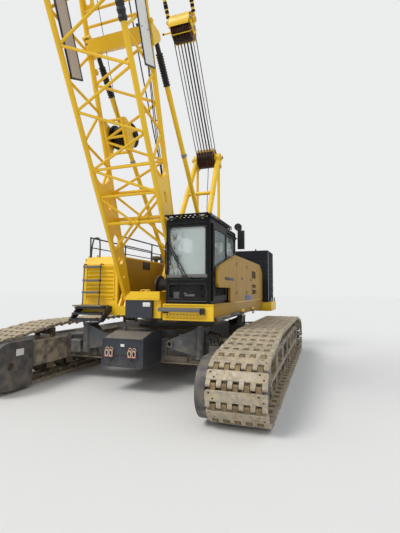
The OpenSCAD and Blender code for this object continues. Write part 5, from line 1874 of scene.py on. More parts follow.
@dataclass
class Cab:
    """The operator's cab with its door, roof guard, lamps and mirrors, and what shows through its windows."""

    front: float = 2.4
    rear: float = 0.35
    inner: float = 0.765
    outer: float = 1.65
    floor: float = 1.66
    top: float = 3.24
    screen: tuple[float, float] = (2.11, 3.09)
    low_pane: tuple[float, float] = (1.76, 2.03)
    side_pane: tuple[float, float, float, float] = (0.51, 1.25, 2.23, 3.08)
    door: tuple[float, float, float, float] = (1.33, 2.29, 1.74, 3.13)
    door_face: float = 1.684

    def _ring(self, form: Form, at: Matrix, width: float, height: float, lap: float, corner: float) -> None:
        """Adds a rounded frame round an opening.

        Args:
            form: Mesh that it is added to.
            at: Matrix of the face, at the middle of the opening.
            width: Width of the opening.
            height: Height of the opening.
            lap: How far the frame reaches over the opening's edge and past it.
            corner: Inner radius of its corners.
        """
        inner = rounded(width - 2 * lap, height - 2 * lap, corner, 6)
        form.plate(rounded(width + 2 * lap, height + 2 * lap, corner + lap, 6), 0.006, at,
                   (), 0.002, cuts=[inner])

    def _seals(self, form: Form) -> None:
        """Adds the rounded frames of all windows.

        Args:
            form: Mesh that it adds to.
        """
        x, middle = self.front - 0.001, (self.inner + self.outer) / 2
        x0, x1, low, high = self.side_pane
        for origin, right, up, width, height, lap, corner in (
                ((x, middle, sum(self.screen) / 2), Y, Z, 0.735, self.screen[1] - self.screen[0], 0.009,
                 0.060),
                ((x, middle, sum(self.low_pane) / 2), Y, Z, 0.715, self.low_pane[1] - self.low_pane[0], 0.009,
                 0.035),
                (((x0 + x1) / 2, self.outer - 0.001, (low + high) / 2), -X, Z, x1 - x0, high - low, 0.010,
                 0.045),
                ((1.575, self.inner + 0.001, 2.605), X, Z, 1.35, 0.95, 0.020, 0.05),
                ((self.rear + 0.001, middle, 2.68), -Y, Z, 0.665, 0.76, 0.020, 0.05),
                ((1.825, middle, self.top - 0.001), X, Y, 0.65, 0.585, 0.020, 0.05)):
            self._ring(form, facing(origin, right, up), width, height, lap, corner)

    def _wipers(self, form: Form) -> None:
        """Adds the parallel arms and the blade of the windscreen's wiper, and the small one below.

        Args:
            form: Mesh that it adds to.
        """
        x = self.front + 0.012
        foot, tip, apart = Vector((x, 1.15, 2.168)), Vector((x, 0.862, 2.73)), Vector((0.0, 0.050, 0.014))
        for k in (0, 1):
            base = foot + k * apart
            form.rod(base - 0.02 * X, base + 0.016 * X, 0.024, 14, bevel=0.003)
            form.rod(base + 0.008 * X, tip + 0.6 * k * apart + 0.008 * X, 0.0105, 8)
        along = Vector((0.0, -0.03, 0.999)).normalized()
        middle = tip + 0.3 * apart
        form.block((-0.010, -0.012, -0.36), (0.010, 0.000, 0.36), 0.002,
                   at=turned_to(middle - 0.002 * X, along))
        form.rod(middle - 0.2 * along, middle + 0.2 * along, 0.006, 8)
        form.block((x - 0.014, 1.10, 2.130), (x + 0.006, 1.24, 2.176), 0.006)
        form.rod((x - 0.014, 1.30, 2.150), (x + 0.012, 1.30, 2.150), 0.016, 12)

    def _body(self, form: Form) -> None:
        """Adds the gutters, seams, bolts, hinges and grab bars of the shell, and a pale strip under the low
        pane as a painted highlight.

        Args:
            form: Mesh that it adds to.
        """
        x, near, far, low, top = self.front, self.inner, self.outer, self.floor, self.top
        form.rod((x - 0.08, near - 0.004, top - 0.045), (self.rear + 0.08, near - 0.004, top - 0.045), 0.009,
                 8)
        form.rod((x + 0.003, near + 0.06, top - 0.09), (x + 0.003, far - 0.06, top - 0.09), 0.010, 8)
        form.rod((1.24, far + 0.003, top - 0.045), (self.rear + 0.08, far + 0.003, top - 0.045), 0.010, 8)
        form.blocks((x - 0.004, near + 0.045, low + 0.012, x + 0.010, far - 0.045, low + 0.050, 0.004),
                    (self.rear + 0.12, far - 0.004, low + 0.06, 0.72, far + 0.002, 2.12, 0.001),
                    (0.76, far - 0.004, low + 0.06, 1.28, far + 0.002, 2.12, 0.001))
        form.bolts([(x + 0.002, y, z) for y in (near + 0.055, far - 0.055)
                    for z in (1.74, 2.0, 2.45, 2.75, 3.05)],
                   X, 0.008)
        bar = ((0.002, 2.20), (0.045, 2.23), (0.050, 2.30), (0.050, 2.72), (0.045, 2.79), (0.002, 2.82))
        for y in (near + 0.035, far - 0.035):
            form.path([(x + out, y, z) for out, z in bar], 0.010, 10)
        form.paint = 1
        # The upper strip is the grey sill; the thin pale strip under the low pane is a painted highlight of
        # its edge.
        form.blocks((x - 0.003, near + 0.046, 2.146, x + 0.011, far - 0.046, 2.206, 0.005),
                    (x + 0.006, near + 0.06, 1.712, x + 0.013, far - 0.06, 1.720, 0.002))
        form.paint = 2
        for y in (near + 0.15, far - 0.15):
            form.block((x - 0.02, y - 0.075, top - 0.008), (x + 0.035, y + 0.075, top + 0.035), 0.012)
            form.rod((x - 0.03, y, top + 0.03), (x - 0.03, y, top + 0.055), 0.010, 8)

    def _lamps(self, form: Form) -> None:
        """Adds work lamps under the roof guard, and the rotating lamp and the whip on the roof.

        Args:
            form: Mesh that it adds to.
        """
        for y in (0.90, 1.515):
            base, way = (self.front + 0.005, y, self.top + 0.028), (1.0, 0, -0.25)
            form.paint = 0
            form.lathe([(-0.050, 0.0), (-0.050, 0.030), (-0.020, 0.045), (0.018, 0.050), (0.024, 0.050),
                        (0.024, 0.043)],
                       base, way, 24)
            form.paint = 1
            form.lathe([(0.016, 0.0), (0.019, 0.030), (0.016, 0.044)], base, way, 24)
        form.paint = 0
        spot, whip = (0.62, 1.42, self.top), (0.50, 0.95, self.top)
        form.lathe([(0.0, 0.065), (0.025, 0.065), (0.030, 0.052)], spot, Z, 28)
        form.rod(whip, (0.44, 0.95, self.top + 0.42), 0.005, 8, tip=0.0025)
        form.lathe([(0.0, 0.018), (0.02, 0.018), (0.035, 0.008)], whip, Z, 14)
        form.paint = 2
        form.lathe([(0.028, 0.050), (0.075, 0.048), (0.095, 0.038), (0.102, 0.018), (0.103, 0.0)], spot, Z,
                   28)

    def _guard(self, form: Form) -> None:
        """Adds the slats that run from front to rear and the rails on the left side of the roof guard.

        Args:
            form: Mesh that it adds to.
        """
        x, z = self.front, self.top + 0.07
        for i in range(9):
            y = 0.85 + 0.09 * i
            form.block((0.88, y - 0.007, z - 0.016), (x + 0.05, y + 0.007, z + 0.012), 0.003)
        for k in range(3):
            form.rod((x + 0.055, 1.672, z - 0.055 + 0.028 * k), (0.86, 1.672, z - 0.055 + 0.028 * k), 0.009,
                     8)
        form.rod((x + 0.058, 0.80, z), (x + 0.058, 1.615, z), 0.014, 10)
        form.rod((x + 0.058, 1.60, z), (0.88, 1.66, z + 0.012), 0.011, 8)
        form.bolts([(at, y, z + 0.017) for at in (1.0, 1.5, 2.0, 2.42) for y in (1.62, 0.795)], Z, 0.010)
        for at in (1.05, 1.75, 2.35):
            form.rod((at, 1.62, self.top - 0.01), (at, 1.66, z + 0.010), 0.010, 8)

    def _mirror_trim(self, form: Form) -> None:
        """Adds housings, bright panes and clamps to the side mirrors, and a small one in front.

        Args:
            form: Mesh that it adds to.
        """
        form.plate(rounded(0.148, 0.428, 0.045, 5), 0.012, facing((0.226, 1.75, 3.11), Y), (), 0.004)
        form.lathe([(0.0, 0.084), (0.006, 0.088), (0.010, 0.080), (0.010, 0.074)],
                   (0.243, 1.68, 3.42), -X, 28)
        for z in (2.97, 3.26, 3.36):
            form.block((0.268, 1.735, z - 0.018), (0.318, 1.768, z + 0.018), 0.005)
            form.bolt((0.318, 1.75, z), X, 0.009)
        form.bolts([(0.455, 1.67, 3.095), (0.505, 1.67, 3.145)], Y, 0.009)
        form.paint = 1
        form.plate(rounded(0.126, 0.400, 0.036, 5), 0.003, facing((0.231, 1.75, 3.11), -Y))
        form.lathe([(0.0, 0.0), (-0.002, 0.040), (-0.001, 0.074)], (0.239, 1.68, 3.42), -X, 28)

    def _console(self, form: Form) -> None:
        """Adds the levers and their shelf, the screen's housing and what hangs behind the windscreen.

        Args:
            form: Mesh that it adds to.
        """
        form.blocks((0.95, 0.815, 2.20, 1.58, 0.925, 2.235, 0.012),
                    (0.92, 0.800, 2.235, 1.16, 0.930, 2.262, 0.010))
        for x in (1.22, 1.34, 1.46):
            foot = Vector((x, 0.87, 2.235))
            form.lathe([(0.0, 0.030), (0.010, 0.026), (0.018, 0.028), (0.028, 0.020), (0.038, 0.014)], foot,
                       Z, 14)
            form.rod(foot + 0.03 * Z, foot + 0.02 * X + 0.17 * Z, 0.006, 8)
            form.ball(foot + 0.021 * X + 0.185 * Z, 0.021, 2, (1, 1, 1.25))
        form.lathe([(0.0, 0.045), (0.012, 0.038), (0.022, 0.042), (0.036, 0.030), (0.05, 0.022)],
                   (1.605, 0.875, 2.21), (0.04, 0.01, 0.22), 18)
        form.rod((1.635, 0.883, 2.36), (1.652, 0.887, 2.47), 0.021, 14, tip=0.024, bevel=0.006)
        form.ball((1.655, 0.888, 2.475), 0.024, 2, (1.1, 0.9, 1.1))
        form.blocks((2.190, 0.820, 2.452, 2.196, 1.070, 2.665, 0.004),
                    (2.27, 0.865, 2.955, 2.335, 1.100, 3.085, 0.03, 4),
                    (2.29, 1.06, 2.90, 2.33, 1.160, 3.02, 0.02, 3),
                    (2.27, 0.875, 2.66, 2.32, 0.975, 2.76, 0.02, 3))
        form.rod((2.31, 1.10, 3.03), (2.31, 1.30, 3.09), 0.014, 10)
        form.rod((2.30, 0.90, 2.64), (2.30, 0.925, 2.98), 0.026, 12)
        form.ball((2.30, 0.93, 2.86), 0.045, 2, (0.6, 1.0, 1.0))
        form.rod((2.31, 1.32, 2.735), (2.31, 1.60, 2.742), 0.006, 8)

    def _cabin(self, form: Form) -> None:
        """Adds the pedals, the screen's face, the lining and the blind.

        Args:
            form: Mesh that it adds to.
        """
        rear, low, near, far = self.rear, self.floor, self.inner, self.outer
        form.block((1.965, 1.02, 2.035), (2.20, 1.32, 2.05), 0.008)
        for y in (1.06, 1.17, 1.28):
            pedal = tilted((2.10, y, 2.06), -28)
            form.block((-0.085, -0.035, -0.006), (0.085, 0.035, 0.006), 0.004, at=pedal)
            form.slabs((0.006, 0.030, 0.002), 0.0, *((-0.064 + 0.032 * k, 0, 0.008) for k in range(5)),
                       at=pedal)
        form.paint = 1
        form.block((2.186, 0.842, 2.474), (2.191, 1.048, 2.643), 0.002)
        form.paint = 3
        form.blocks((2.20, 0.885, 1.722, 2.275, 0.995, 1.885, 0.012),
                    (2.246, 1.115, 1.800, 2.262, 1.310, 1.838, 0.005),
                    (2.246, 1.095, 1.842, 2.258, 1.150, 1.870, 0.004))
        form.paint = 2
        form.blocks((rear + 0.042, near + 0.05, low + 0.06, rear + 0.060, far - 0.05, 2.26, 0.01),
                    (rear + 0.05, near + 0.05, self.top - 0.075, self.front - 0.30, far - 0.05,
                     self.top - 0.058, 0.006),
                    (0.42, near + 0.045, low + 0.052, 2.33, far - 0.045, low + 0.060, 0.003))
        form.rod((2.30, 0.86, 3.06), (2.30, 1.55, 3.06), 0.022, 14)

    def _door_trim(self, form: Form) -> None:
        """Adds the frame, handle, seals and rollers of the sliding door.

        Args:
            form: Mesh that it adds to.
        """
        x0, x1, z0, z1 = self.door
        y = self.door_face
        form.blocks((x0 + 0.006, y - 0.004, z0 + 0.004, x0 + 0.030, y + 0.003, z1 - 0.004, 0.001),
                    (x1 - 0.030, y - 0.004, z0 + 0.004, x1 - 0.006, y + 0.003, z1 - 0.004, 0.001),
                    (x0 + 0.03, y - 0.004, 2.165, x1 - 0.03, y + 0.003, 2.215, 0.001))
        form.paint = 1
        for low, high in ((2.23, z1 - 0.06), (1.80, 2.15)):
            face = facing(((x0 + x1) / 2, y - 0.003, (low + high) / 2), -X)
            self._ring(form, face, x1 - x0 - 0.14, high - low, 0.016, 0.05)
        form.paint = 2
        form.plate(rounded(0.05, 0.20, 0.018), 0.003, facing((x1 - 0.050, y, 2.44), -X),
                   cuts=[rounded(0.036, 0.185, 0.012)])
        form.rod((x1 - 0.050, y - 0.004, 2.35), (x1 - 0.050, y - 0.004, 2.53), 0.006, 10)
        form.block((x1 - 0.072, y - 0.001, 2.08), (x1 - 0.030, y + 0.003, 2.15), 0.001)

    def _cushion(self, name: str, size: Point, at: Matrix, channels: Sequence[float], crown: float) -> None:
        """Makes one crowned cushion with sewn channels and a piped seam.

        Args:
            name: Name of the piece.
            size: Length, width and thickness.
            at: Matrix that places its middle, with its crowned face towards Z.
            channels: Where the sewn channels cross it, as shares of its length.
            crown: How far the middle of the face stands over its rim.
        """
        form = Form()
        length, width, thick = size
        half = Vector(size) / 2
        edges = {e for v in form.block(-half, half) for e in v.link_edges}
        bmesh.ops.subdivide_edges(form.bm, edges=list(edges), cuts=15, use_grid_fill=True)
        for vert in form.bm.verts:
            u, v, w = (c / h for c, h in zip(vert.co, half))
            bulge = (1 - u ** 4) * (1 - v ** 4)
            groove = sum(math.exp(-((vert.co.x / length + 0.5 - c) / 0.022) ** 2) for c in channels)
            rim = math.exp(-((1 - max(abs(u), abs(v))) / 0.10) ** 2)
            lift = crown * bulge - 0.010 * groove * (w > 0.9) - 0.18 * thick * rim * (abs(w) > 0.9)
            side = 0.012 * (1 - w * w)
            vert.co.z += (1 if w > 0 else -0.25) * abs(w) * lift
            vert.co.x += math.copysign(side * (abs(u) > 0.98) * (1 - v * v), u)
            vert.co.y += math.copysign(side * (abs(v) > 0.98) * (1 - u * u), v)
        for _ in range(2):
            bmesh.ops.smooth_vert(form.bm, verts=form.bm.verts, factor=0.5, use_axis_x=True, use_axis_y=True,
                                  use_axis_z=True)
        form.paint = 1
        seam = [(x, y, thick * 0.13) for x, y in rounded(length * 0.985, width * 0.985, 0.05, 5)]
        form.path([*seam, seam[0]], 0.0045, 6)
        bmesh.ops.transform(form.bm, matrix=at, verts=form.bm.verts)
        piece = form.made(name, UPPER, Skin.SEAT, Skin.PLASTIC, crease=60.0)
        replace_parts(piece, "operator_seat")

    def _seat_frame(self, form: Form) -> None:
        """Adds the seat's suspension, shells and armrests.

        Args:
            form: Mesh that it adds to.
        """
        y = (self.inner + self.outer) / 2
        form.block((0.90, y - 0.13, 1.72), (1.38, y + 0.13, 1.76), 0.012)
        for k in range(6):
            out, z = 0.006 * (k % 2), 1.762 + 0.034 * k
            form.block((0.93 - out, y - 0.12, z), (1.35 + out, y + 0.12, z + 0.031), 0.012)
        form.block((0.90, y - 0.20, 1.972), (1.38, y + 0.20, 2.004), 0.014)
        back = tilted((0.87, y, 2.10), -12)
        form.block((0.004, -0.19, 0.0), (0.040, 0.19, 0.60), 0.018, 3, at=back)
        for s in SIDES:
            form.rod(back @ Vector((0.03, s * 0.05, 0.58)), back @ Vector((0.03, s * 0.05, 0.70)), 0.007, 10)
            form.blocks((0.02, s * 0.235 - 0.028, 0.17, 0.34, s * 0.235 + 0.028, 0.215, 0.02, 3),
                        (0.02, s * 0.225 - 0.008, 0.02, 0.07, s * 0.225 + 0.008, 0.19, 0.005), at=back)

    def _seat(self) -> None:
        """Makes the operator's seat with its cushions."""
        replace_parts(shaped("seat_frame", UPPER, (Skin.PLASTIC,), self._seat_frame), "operator_seat")
        y = (self.inner + self.outer) / 2
        lying = Matrix.Rotation(math.radians(-90), 4, "Y") @ Matrix.Rotation(math.pi, 4, "Z")
        self._cushion("seat_cushion", (0.50, 0.44, 0.11), Matrix.Translation((1.145, y, 2.062)), (0.30, 0.62),
                      0.018)
        self._cushion("seat_back", (0.58, 0.42, 0.085),
                      tilted((0.87, y, 2.10), -12) @ Matrix.Translation((0.082, 0, 0.315)) @ lying,
                      (0.3, 0.55, 0.8), 0.016)
        self._cushion("headrest", (0.165, 0.22, 0.075),
                      tilted((0.752, y, 2.70), -12) @ Matrix.Translation((0.05, 0, 0.095)) @ lying, (0.5,),
                      0.010)

    def build(self) -> None:
        """Makes the cab's trim and its inside."""
        dress(Skin.CAB, "cab_shell", "cab_guard", "cab_door")
        dress(Skin.GLASS, "cab_glass")
        dress(Skin.DOOR_GLASS, "cab_door_glass")
        dress(Skin.SEAT, "operator_seat")
        dress(Skin.PLASTIC, "control_console", "mirrors")
        shaped("window_seals", UPPER, (Skin.RUBBER,), self._seals)
        shaped("wipers", UPPER, (Skin.PLASTIC,), self._wipers)
        shaped("cab_trim", UPPER, (Skin.CAB, Skin.TREAD, Skin.PLASTIC), self._body)
        shaped("cab_lamps", UPPER, (Skin.PLASTIC, Skin.LENS, Skin.AMBER), self._lamps)
        shaped("roof_guard_slats", UPPER, (Skin.CAB,), self._guard)
        shaped("mirror_trim", UPPER, (Skin.PLASTIC, Skin.PANE), self._mirror_trim)
        shaped("cabin_controls", UPPER, (Skin.PLASTIC, Skin.SCREEN, Skin.LINING, Skin.PLATE),
               self._console, self._cabin)
        shaped("cab_door_trim", "cab_door", (Skin.CAB, Skin.RUBBER, Skin.STEEL), self._door_trim)
        self._seat()


# Boom


@dataclass
class Boom:
    """The lattice boom's collars, pins, beads, walkway, board and small winch, and its ropes and cables."""

    half_width: float = 0.65
    half_depth: float = 0.58
    chord: float = 0.051
    lacing: float = 0.027
    lace_low: float = 2.31
    lace_high: float = 6.032
    bays: int = 7
    rear_bays: int = 5
    section_bays: int = 11
    node_gap: float = 0.13
    collars: tuple[tuple[float, float], ...] = ((0.52, 0.058), (0.90, 0.100), (1.33, 0.148))
    low_rung: float = 1.75
    knob_at: float = 4.67
    winch_at: float = 3.42
    winch_gap: float = 0.3
    winch_y: float = -0.33
    joints: tuple[float, ...] = (6.3, 12.3, 18.3)
    head_top: float = 24.1
    shaft_ahead: float = 0.7

    def _face(self, face: int, along: float, across: float, off: float = 0.0) -> Vector:
        """A point on the butt's front or rear face, or off it."""
        return AT.boom(face * (AT.half_depth(along) + off), along, across)

    def _bead(self, form: Form, at: Vector, along: Vector, radius: float) -> None:
        """Adds the weld bead where a lacing tube of this radius meets a chord.

        Args:
            form: Mesh that it adds to.
            at: Where the tube's axis meets the chord's.
            along: Direction of the tube.
            radius: Radius of the tube.
        """
        way = along.normalized()
        start = at + way * (self.chord + 0.004)
        form.rod(start, start + way * 0.016, radius + 0.009, 10, tip=radius + 0.001)

    def _lattice(self, form: Form, low: Point, high: Point, bays: int, rear: int) -> None:
        """Adds the beads of a section's zigzag lacing.

        Args:
            form: Mesh that they are added to.
            low: Distance along the boom, half width and half depth at the foot of the lacing.
            high: The same at its top.
            bays: Half bays of the lacing.
            rear: Half bays that the rear face is laced in.
        """
        def corner(face: int, side: int, i: int) -> Vector:
            """A corner of the section at one level."""
            along, width, depth = Vector(low).lerp(Vector(high), i / bays)
            return AT.boom(face * depth, along, side * width)

        pairs = [(corner(f, -1, i), corner(f, 1, i)) for f in ENDS for i in (0, bays)]
        for i in range(bays):
            k = 1 if i % 2 == 0 else -1
            pairs += [(corner(f, k * f, i), corner(f, -k * f, i + 1)) for f in (ENDS if i < rear else (1,))]
            pairs += [(corner(-k * side, side, i), corner(k * side, side, i + 1)) for side in SIDES]
        for start, end in pairs:
            self._bead(form, start, end - start, self.lacing)
            self._bead(form, end, start - end, self.lacing)

    def _beads(self, form: Form) -> None:
        """Adds the beads of the inserts and of the head section.

        Args:
            form: Mesh that it adds to.
        """
        gap, bays = self.node_gap, self.section_bays
        for low, high in zip(self.joints, self.joints[1:]):
            self._lattice(form, (low + gap, self.half_width, self.half_depth),
                          (high - gap, self.half_width, self.half_depth), bays, bays)
        self._lattice(form, (self.joints[-1] + gap, 0.645, 0.575), (self.head_top - 0.1, 0.335, 0.255), bays,
                      bays)

    def _section_pins(self, form: Form) -> None:
        """Adds the fork plates, pins and keepers where two sections meet.

        Args:
            form: Mesh that it adds to.
        """
        outline = [(-0.062, -0.13), (0.062, -0.13), (0.070, 0.0), (0.062, 0.13),
                   (-0.062, 0.13), (-0.070, 0.0)]
        for along, face, side in itertools.product(self.joints, ENDS, SIDES):
            ahead, y, out = face * self.half_depth, side * self.half_width, side * Y
            middle = AT.boom(ahead, along, y)
            form.paint = 1
            form.rod(middle - 0.105 * out, middle + 0.105 * out, 0.030, 18, bevel=0.004)
            form.rod(middle + 0.105 * out, middle + 0.118 * out, 0.040, 18, bevel=0.003)
            form.rod(middle - 0.090 * out + 0.045 * Z, middle - 0.090 * out - 0.045 * Z, 0.006, 8)
            form.paint = 0
            for k in (-0.070, 0.070):
                form.plate(outline, 0.022, AT.boom_matrix(ahead, along, y + k) @ axes((0, -0.011, 0), X, Z,
                                                                                      Y),
                           [(0, 0, 0.026)], 0.003, 16)

    def _butt(self, form: Form) -> None:
        """Adds the beads, collars and pads of the butt section.

        Args:
            form: Mesh that it adds to.
        """
        depth, half = AT.half_depth, self.half_width
        self._lattice(form, (self.lace_low, half, depth(self.lace_low)),
                      (self.lace_high, half, depth(self.lace_high)), self.bays, self.rear_bays)
        for side in SIDES:
            out, y = side * Y, side * 0.69
            for s, r in self.collars:
                form.lathe([(0.0, r - 0.002), (0.004, r - 0.002), (0.007, r + 0.010), (0.004, r + 0.020),
                            (0.0, r + 0.022)],
                           AT.boom(0, s, y), out, 28)
            for face in ENDS:
                for s in (0.55, 1.0, 1.5, 2.0, 2.45):
                    form.weld(self._face(face, s, side * 0.686, 0.02),
                              self._face(face, s + 0.34, side * 0.686, 0.02), 0.007)
                self._bead(form, self._face(face, self.low_rung, side * (half - 0.02)), -out, 0.038)
                form.lathe([(-0.030, 0.044), (-0.028, 0.052), (0.028, 0.052), (0.030, 0.044)],
                           self._face(face, self.low_rung, side * 0.10), out, 18)
            form.cap([(0.0, 0.045), (0.02, 0.045), (0.02, 0.028), (0.034, 0.024)],
                     self._face(-1, 5.275, side * 0.722), out, 20)
        pad = self._face(-1, AT.box_at, 0.0, 0.055)
        form.slabs((0.008, 0.57, 0.10), 0.004, (0, 0, 0),
                   at=AT.boom_matrix(-depth(AT.box_at) - 0.064, AT.box_at, 0.0))
        for y in (-0.40, -0.13, 0.13, 0.40):
            spot = self._face(-1, AT.box_at, y, 0.071)
            form.bolt(spot, spot - pad + Vector((-1, 0, 0.43)), 0.014)
        form.block((-0.030, -0.045, -0.055), (0.025, 0.045, 0.055), 0.008,
                   at=AT.boom_matrix(-depth(self.knob_at) - 0.060, self.knob_at, 0.02 - half))
        for s in (5.31, 5.38, 5.46):
            form.path([self._face(-1, s, 0.65, 0.03), self._face(-1, s, 0.655, 0.10),
                       AT.boom(-depth(s) - 0.105, s + 0.035, 0.655)], 0.007, 8)

    def _wraps(self, form: Form) -> None:
        """Adds the dark bands round the chords, the collar over them and a dark knob on the right chord.

        Args:
            form: Mesh that it adds to.
        """
        start, end = self._face(1, 5.04, self.half_width), self._face(1, 6.04, self.half_width)
        form.lathe([(0.30, 0.050), (0.30, 0.080), (0.325, 0.080), (0.325, 0.050)], start, end - start, 20)
        form.paint = 2
        wrap = [(0.0, 0.050)]
        for i in range(9):
            low = 0.033 * i
            wrap += [(low + 0.002, 0.060 + 0.006 * (i % 3)), (low + 0.026, 0.068 + 0.005 * ((i + 1) % 3))]
        form.lathe([*wrap, (0.30, 0.050)], start, end - start, 16)
        for s in (5.15, 5.24):
            low = self._face(-1, s, -self.half_width)
            form.lathe([(-0.010, 0.050), (-0.010, 0.056), (0.010, 0.056), (0.010, 0.050)], low,
                       self._face(-1, s + 1, -self.half_width) - low, 18)
        knob = self._face(-1, self.knob_at, -self.half_width, 0.085)
        form.rod(knob - 0.02 * Y, knob + 0.06 * Y, 0.026, 18, bevel=0.005)

    def _board(self, form: Form) -> None:
        """Adds the blank board on the left side and its brackets.

        Args:
            form: Mesh that it adds to.
        """
        low, length, half = 4.5, 5.1, 0.20
        at = AT.boom_matrix(-0.22, low, 0.688)
        form.block((-half, -0.006, 0.0), (half, 0.006, length), 0.003, at=at)
        form.paint = 1
        form.blocks(*((x - 0.012, -0.011, -0.01, x + 0.012, 0.011, length + 0.01, 0.003)
                      for x in (half, -half)),
                    *((-half, -0.013, s - 0.014, half, 0.013, s + 0.014, 0.003)
                      for s in (0.0, 1.7, 3.4, length)),
                    *((0.19, -0.045, s - 0.02, 0.24, 0.008, s + 0.02, 0.004) for s in (0.6, 2.3, 4.1)), at=at)
        form.bolts([at @ Vector((x, 0.013, s)) for s in (0.6, 2.3, 4.1) for x in (-0.12, 0.12)], Y, 0.010)

    def _plank(self, form: Form) -> None:
        """Adds the plank with its rims beside the right chord.

        Args:
            form: Mesh that it adds to.
        """
        at, length, half = AT.boom_matrix(0.22, 4.44, -0.60), 1.74, 0.158
        form.block((-0.150, -0.008, 0.0), (0.150, 0.008, length), 0.003, at=at)
        form.paint = 1
        form.blocks(*((x - 0.010, -0.018, 0.0, x + 0.010, 0.018, length, 0.004) for x in (-half, half)),
                    *((-half, -0.014, s, half, 0.014, s + 0.03, 0.003) for s in (0.0, 1.71)), at=at)

    def _grating(self, form: Form) -> None:
        """Adds the grating of the long walkway.

        Args:
            form: Mesh that it adds to.
        """
        low, high = 6.5, 18.1
        form.blocks(*((0.001, 0.040 * k - 0.165, 0.0, 0.008, 0.040 * k - 0.155, high - low)
                      for k in range(9)),
                    *((0.002, -0.17, 0.1 * k + 0.05, 0.006, 0.17, 0.1 * k + 0.056) for k in range(116)),
                    at=AT.boom_matrix(-0.512, low, -0.39))

    def _clips(self, form: Form) -> None:
        """Adds the clips that hold the grating.

        Args:
            form: Mesh that it adds to.
        """
        for k in range(9):
            for y in (-0.215, -0.565):
                form.block((-0.02, -0.012, -0.02), (0.012, 0.012, 0.02), 0.004,
                           at=AT.boom_matrix(-0.52, 6.7 + 1.4 * k, y))

    def _cable_clips(self, form: Form) -> None:
        """Adds the clips of the cables along the rear left chord.

        Args:
            form: Mesh that it adds to.
        """
        for k in range(6):
            s = 1.2 + 0.8 * k
            form.block((-0.02, -0.055, -0.012), (0.026, 0.05, 0.012), 0.004,
                       at=AT.boom_matrix(-AT.half_depth(s), s, 0.595))

    def _winch(self) -> None:
        """Adds the rope on the small winch, its bolts and the line that it pays out up the boom."""
        axle = -AT.half_depth(self.winch_at) - self.winch_gap
        centre = AT.boom(axle, self.winch_at, self.winch_y)

        def rope(form: Form) -> None:
            """Adds the wound rope."""
            form.winding(0.168, 14, 0.024, 0.14, [(0.0, 0.188), (0.007, 0.196), (0.017, 0.196)], centre, 32)

        def trim(form: Form) -> None:
            """Adds the fittings of the flanges and the hub.

            Args:
                form: Mesh that it adds to.
            """
            for s in SIDES:
                form.bolts(around(centre + 0.201 * s * Y, 0.19, range(20, 380, 45)), s * Y, 0.010)
                form.lathe([(0.0, 0.245), (0.004, 0.249), (0.010, 0.245)], centre + 0.196 * s * Y, s * Y, 40)
            form.lathe([(0.0, 0.0), (0.0, 0.060), (0.03, 0.060), (0.04, 0.045), (0.05, 0.0)],
                       (centre.x, -0.10, centre.z), Y, 24)

        shaped("small_winch_rope", "boom", (Skin.DRUM_ROPE,), rope)
        shaped("small_winch_trim", "boom", (Skin.CAB,), trim)
        line = straight(AT.boom(axle + 0.19, self.winch_at + 0.02, self.winch_y + 0.04),
                        AT.boom(-0.45, self.head_top, -0.10), 40)
        seat(strands("small_winch_line", [line], 0.006, 6), "boom", Skin.ROPE)

    def _hoist_ropes(self) -> None:
        """Runs the two hoist ropes behind the boom, from its foot to the head."""
        lines = []
        for y, top_y, first, second, last in ((0.30, 0.144, -0.86, -0.759, -0.607),
                                              (0.15, 0.048, -0.90, -0.80, -0.63)):
            low = [AT.boom(ahead, along, y) for ahead, along in
                   ((-0.93, 1.75), (first, 2.56), (second, 3.48), (-0.66, 4.60), (last, 5.66))]
            lines.append(curve_points(low, 4) + straight(low[-1], AT.boom(-0.66, 23.6, top_y), 40)[1:])
        seat(strands("hoist_ropes_boom", lines, 0.0125, 8), "boom", Skin.ROPE)

    def _cables(self) -> None:
        """Runs the hose and the cable along the rear left chord."""
        lines = []
        for k, y in enumerate((0.56, 0.545)):
            spots = (0.75 + 0.25 * i for i in range(20))
            lines.append(curve_points([self._face(-1, s, y - 0.01 * math.cos(2.1 * s),
                                                  0.012 - 0.02 * k - 0.018 * math.sin(1.7 * s + k))
                                                  for s in spots], 3))
        seat(strands("boom_cables", lines, 0.009, 8), "boom", Skin.RUBBER)

    def _head(self, form: Form) -> None:
        """Adds the bolts, pins, rope guards and brackets of the boom's head.

        Args:
            form: Mesh that it adds to.
        """
        for side in SIDES:
            shaft, out = AT.boom(self.shaft_ahead, AT.boom_length, side * 0.355), side * Y
            form.paint = 0
            form.bolts(around(shaft, 0.13, range(0, 360, 45)), out, 0.012)
            form.lathe([(0.0, 0.085), (0.010, 0.085), (0.012, 0.110), (0.0, 0.118)], shaft, out, 32)
            form.paint = 1
            form.cap([(0.0, 0.078), (0.014, 0.078), (0.018, 0.060)], shaft + 0.035 * out, out, 28)
            form.cap([(0.0, 0.058), (0.014, 0.058), (0.018, 0.046)],
                     AT.boom(-0.26, self.head_top, side * 0.52), out, 24)
        form.paint = 0
        form.guards(lambda out, up, y: AT.boom(self.shaft_ahead + out, AT.boom_length + up, y),
                    (-55, 45, 100, 155), 0.335, 0.300)
        for y in (-0.30, 0.30):
            form.block((-0.05, -0.02, -0.16), (0.05, 0.02, 0.16), 0.006, at=AT.boom_matrix(0.10, 24.15, y))

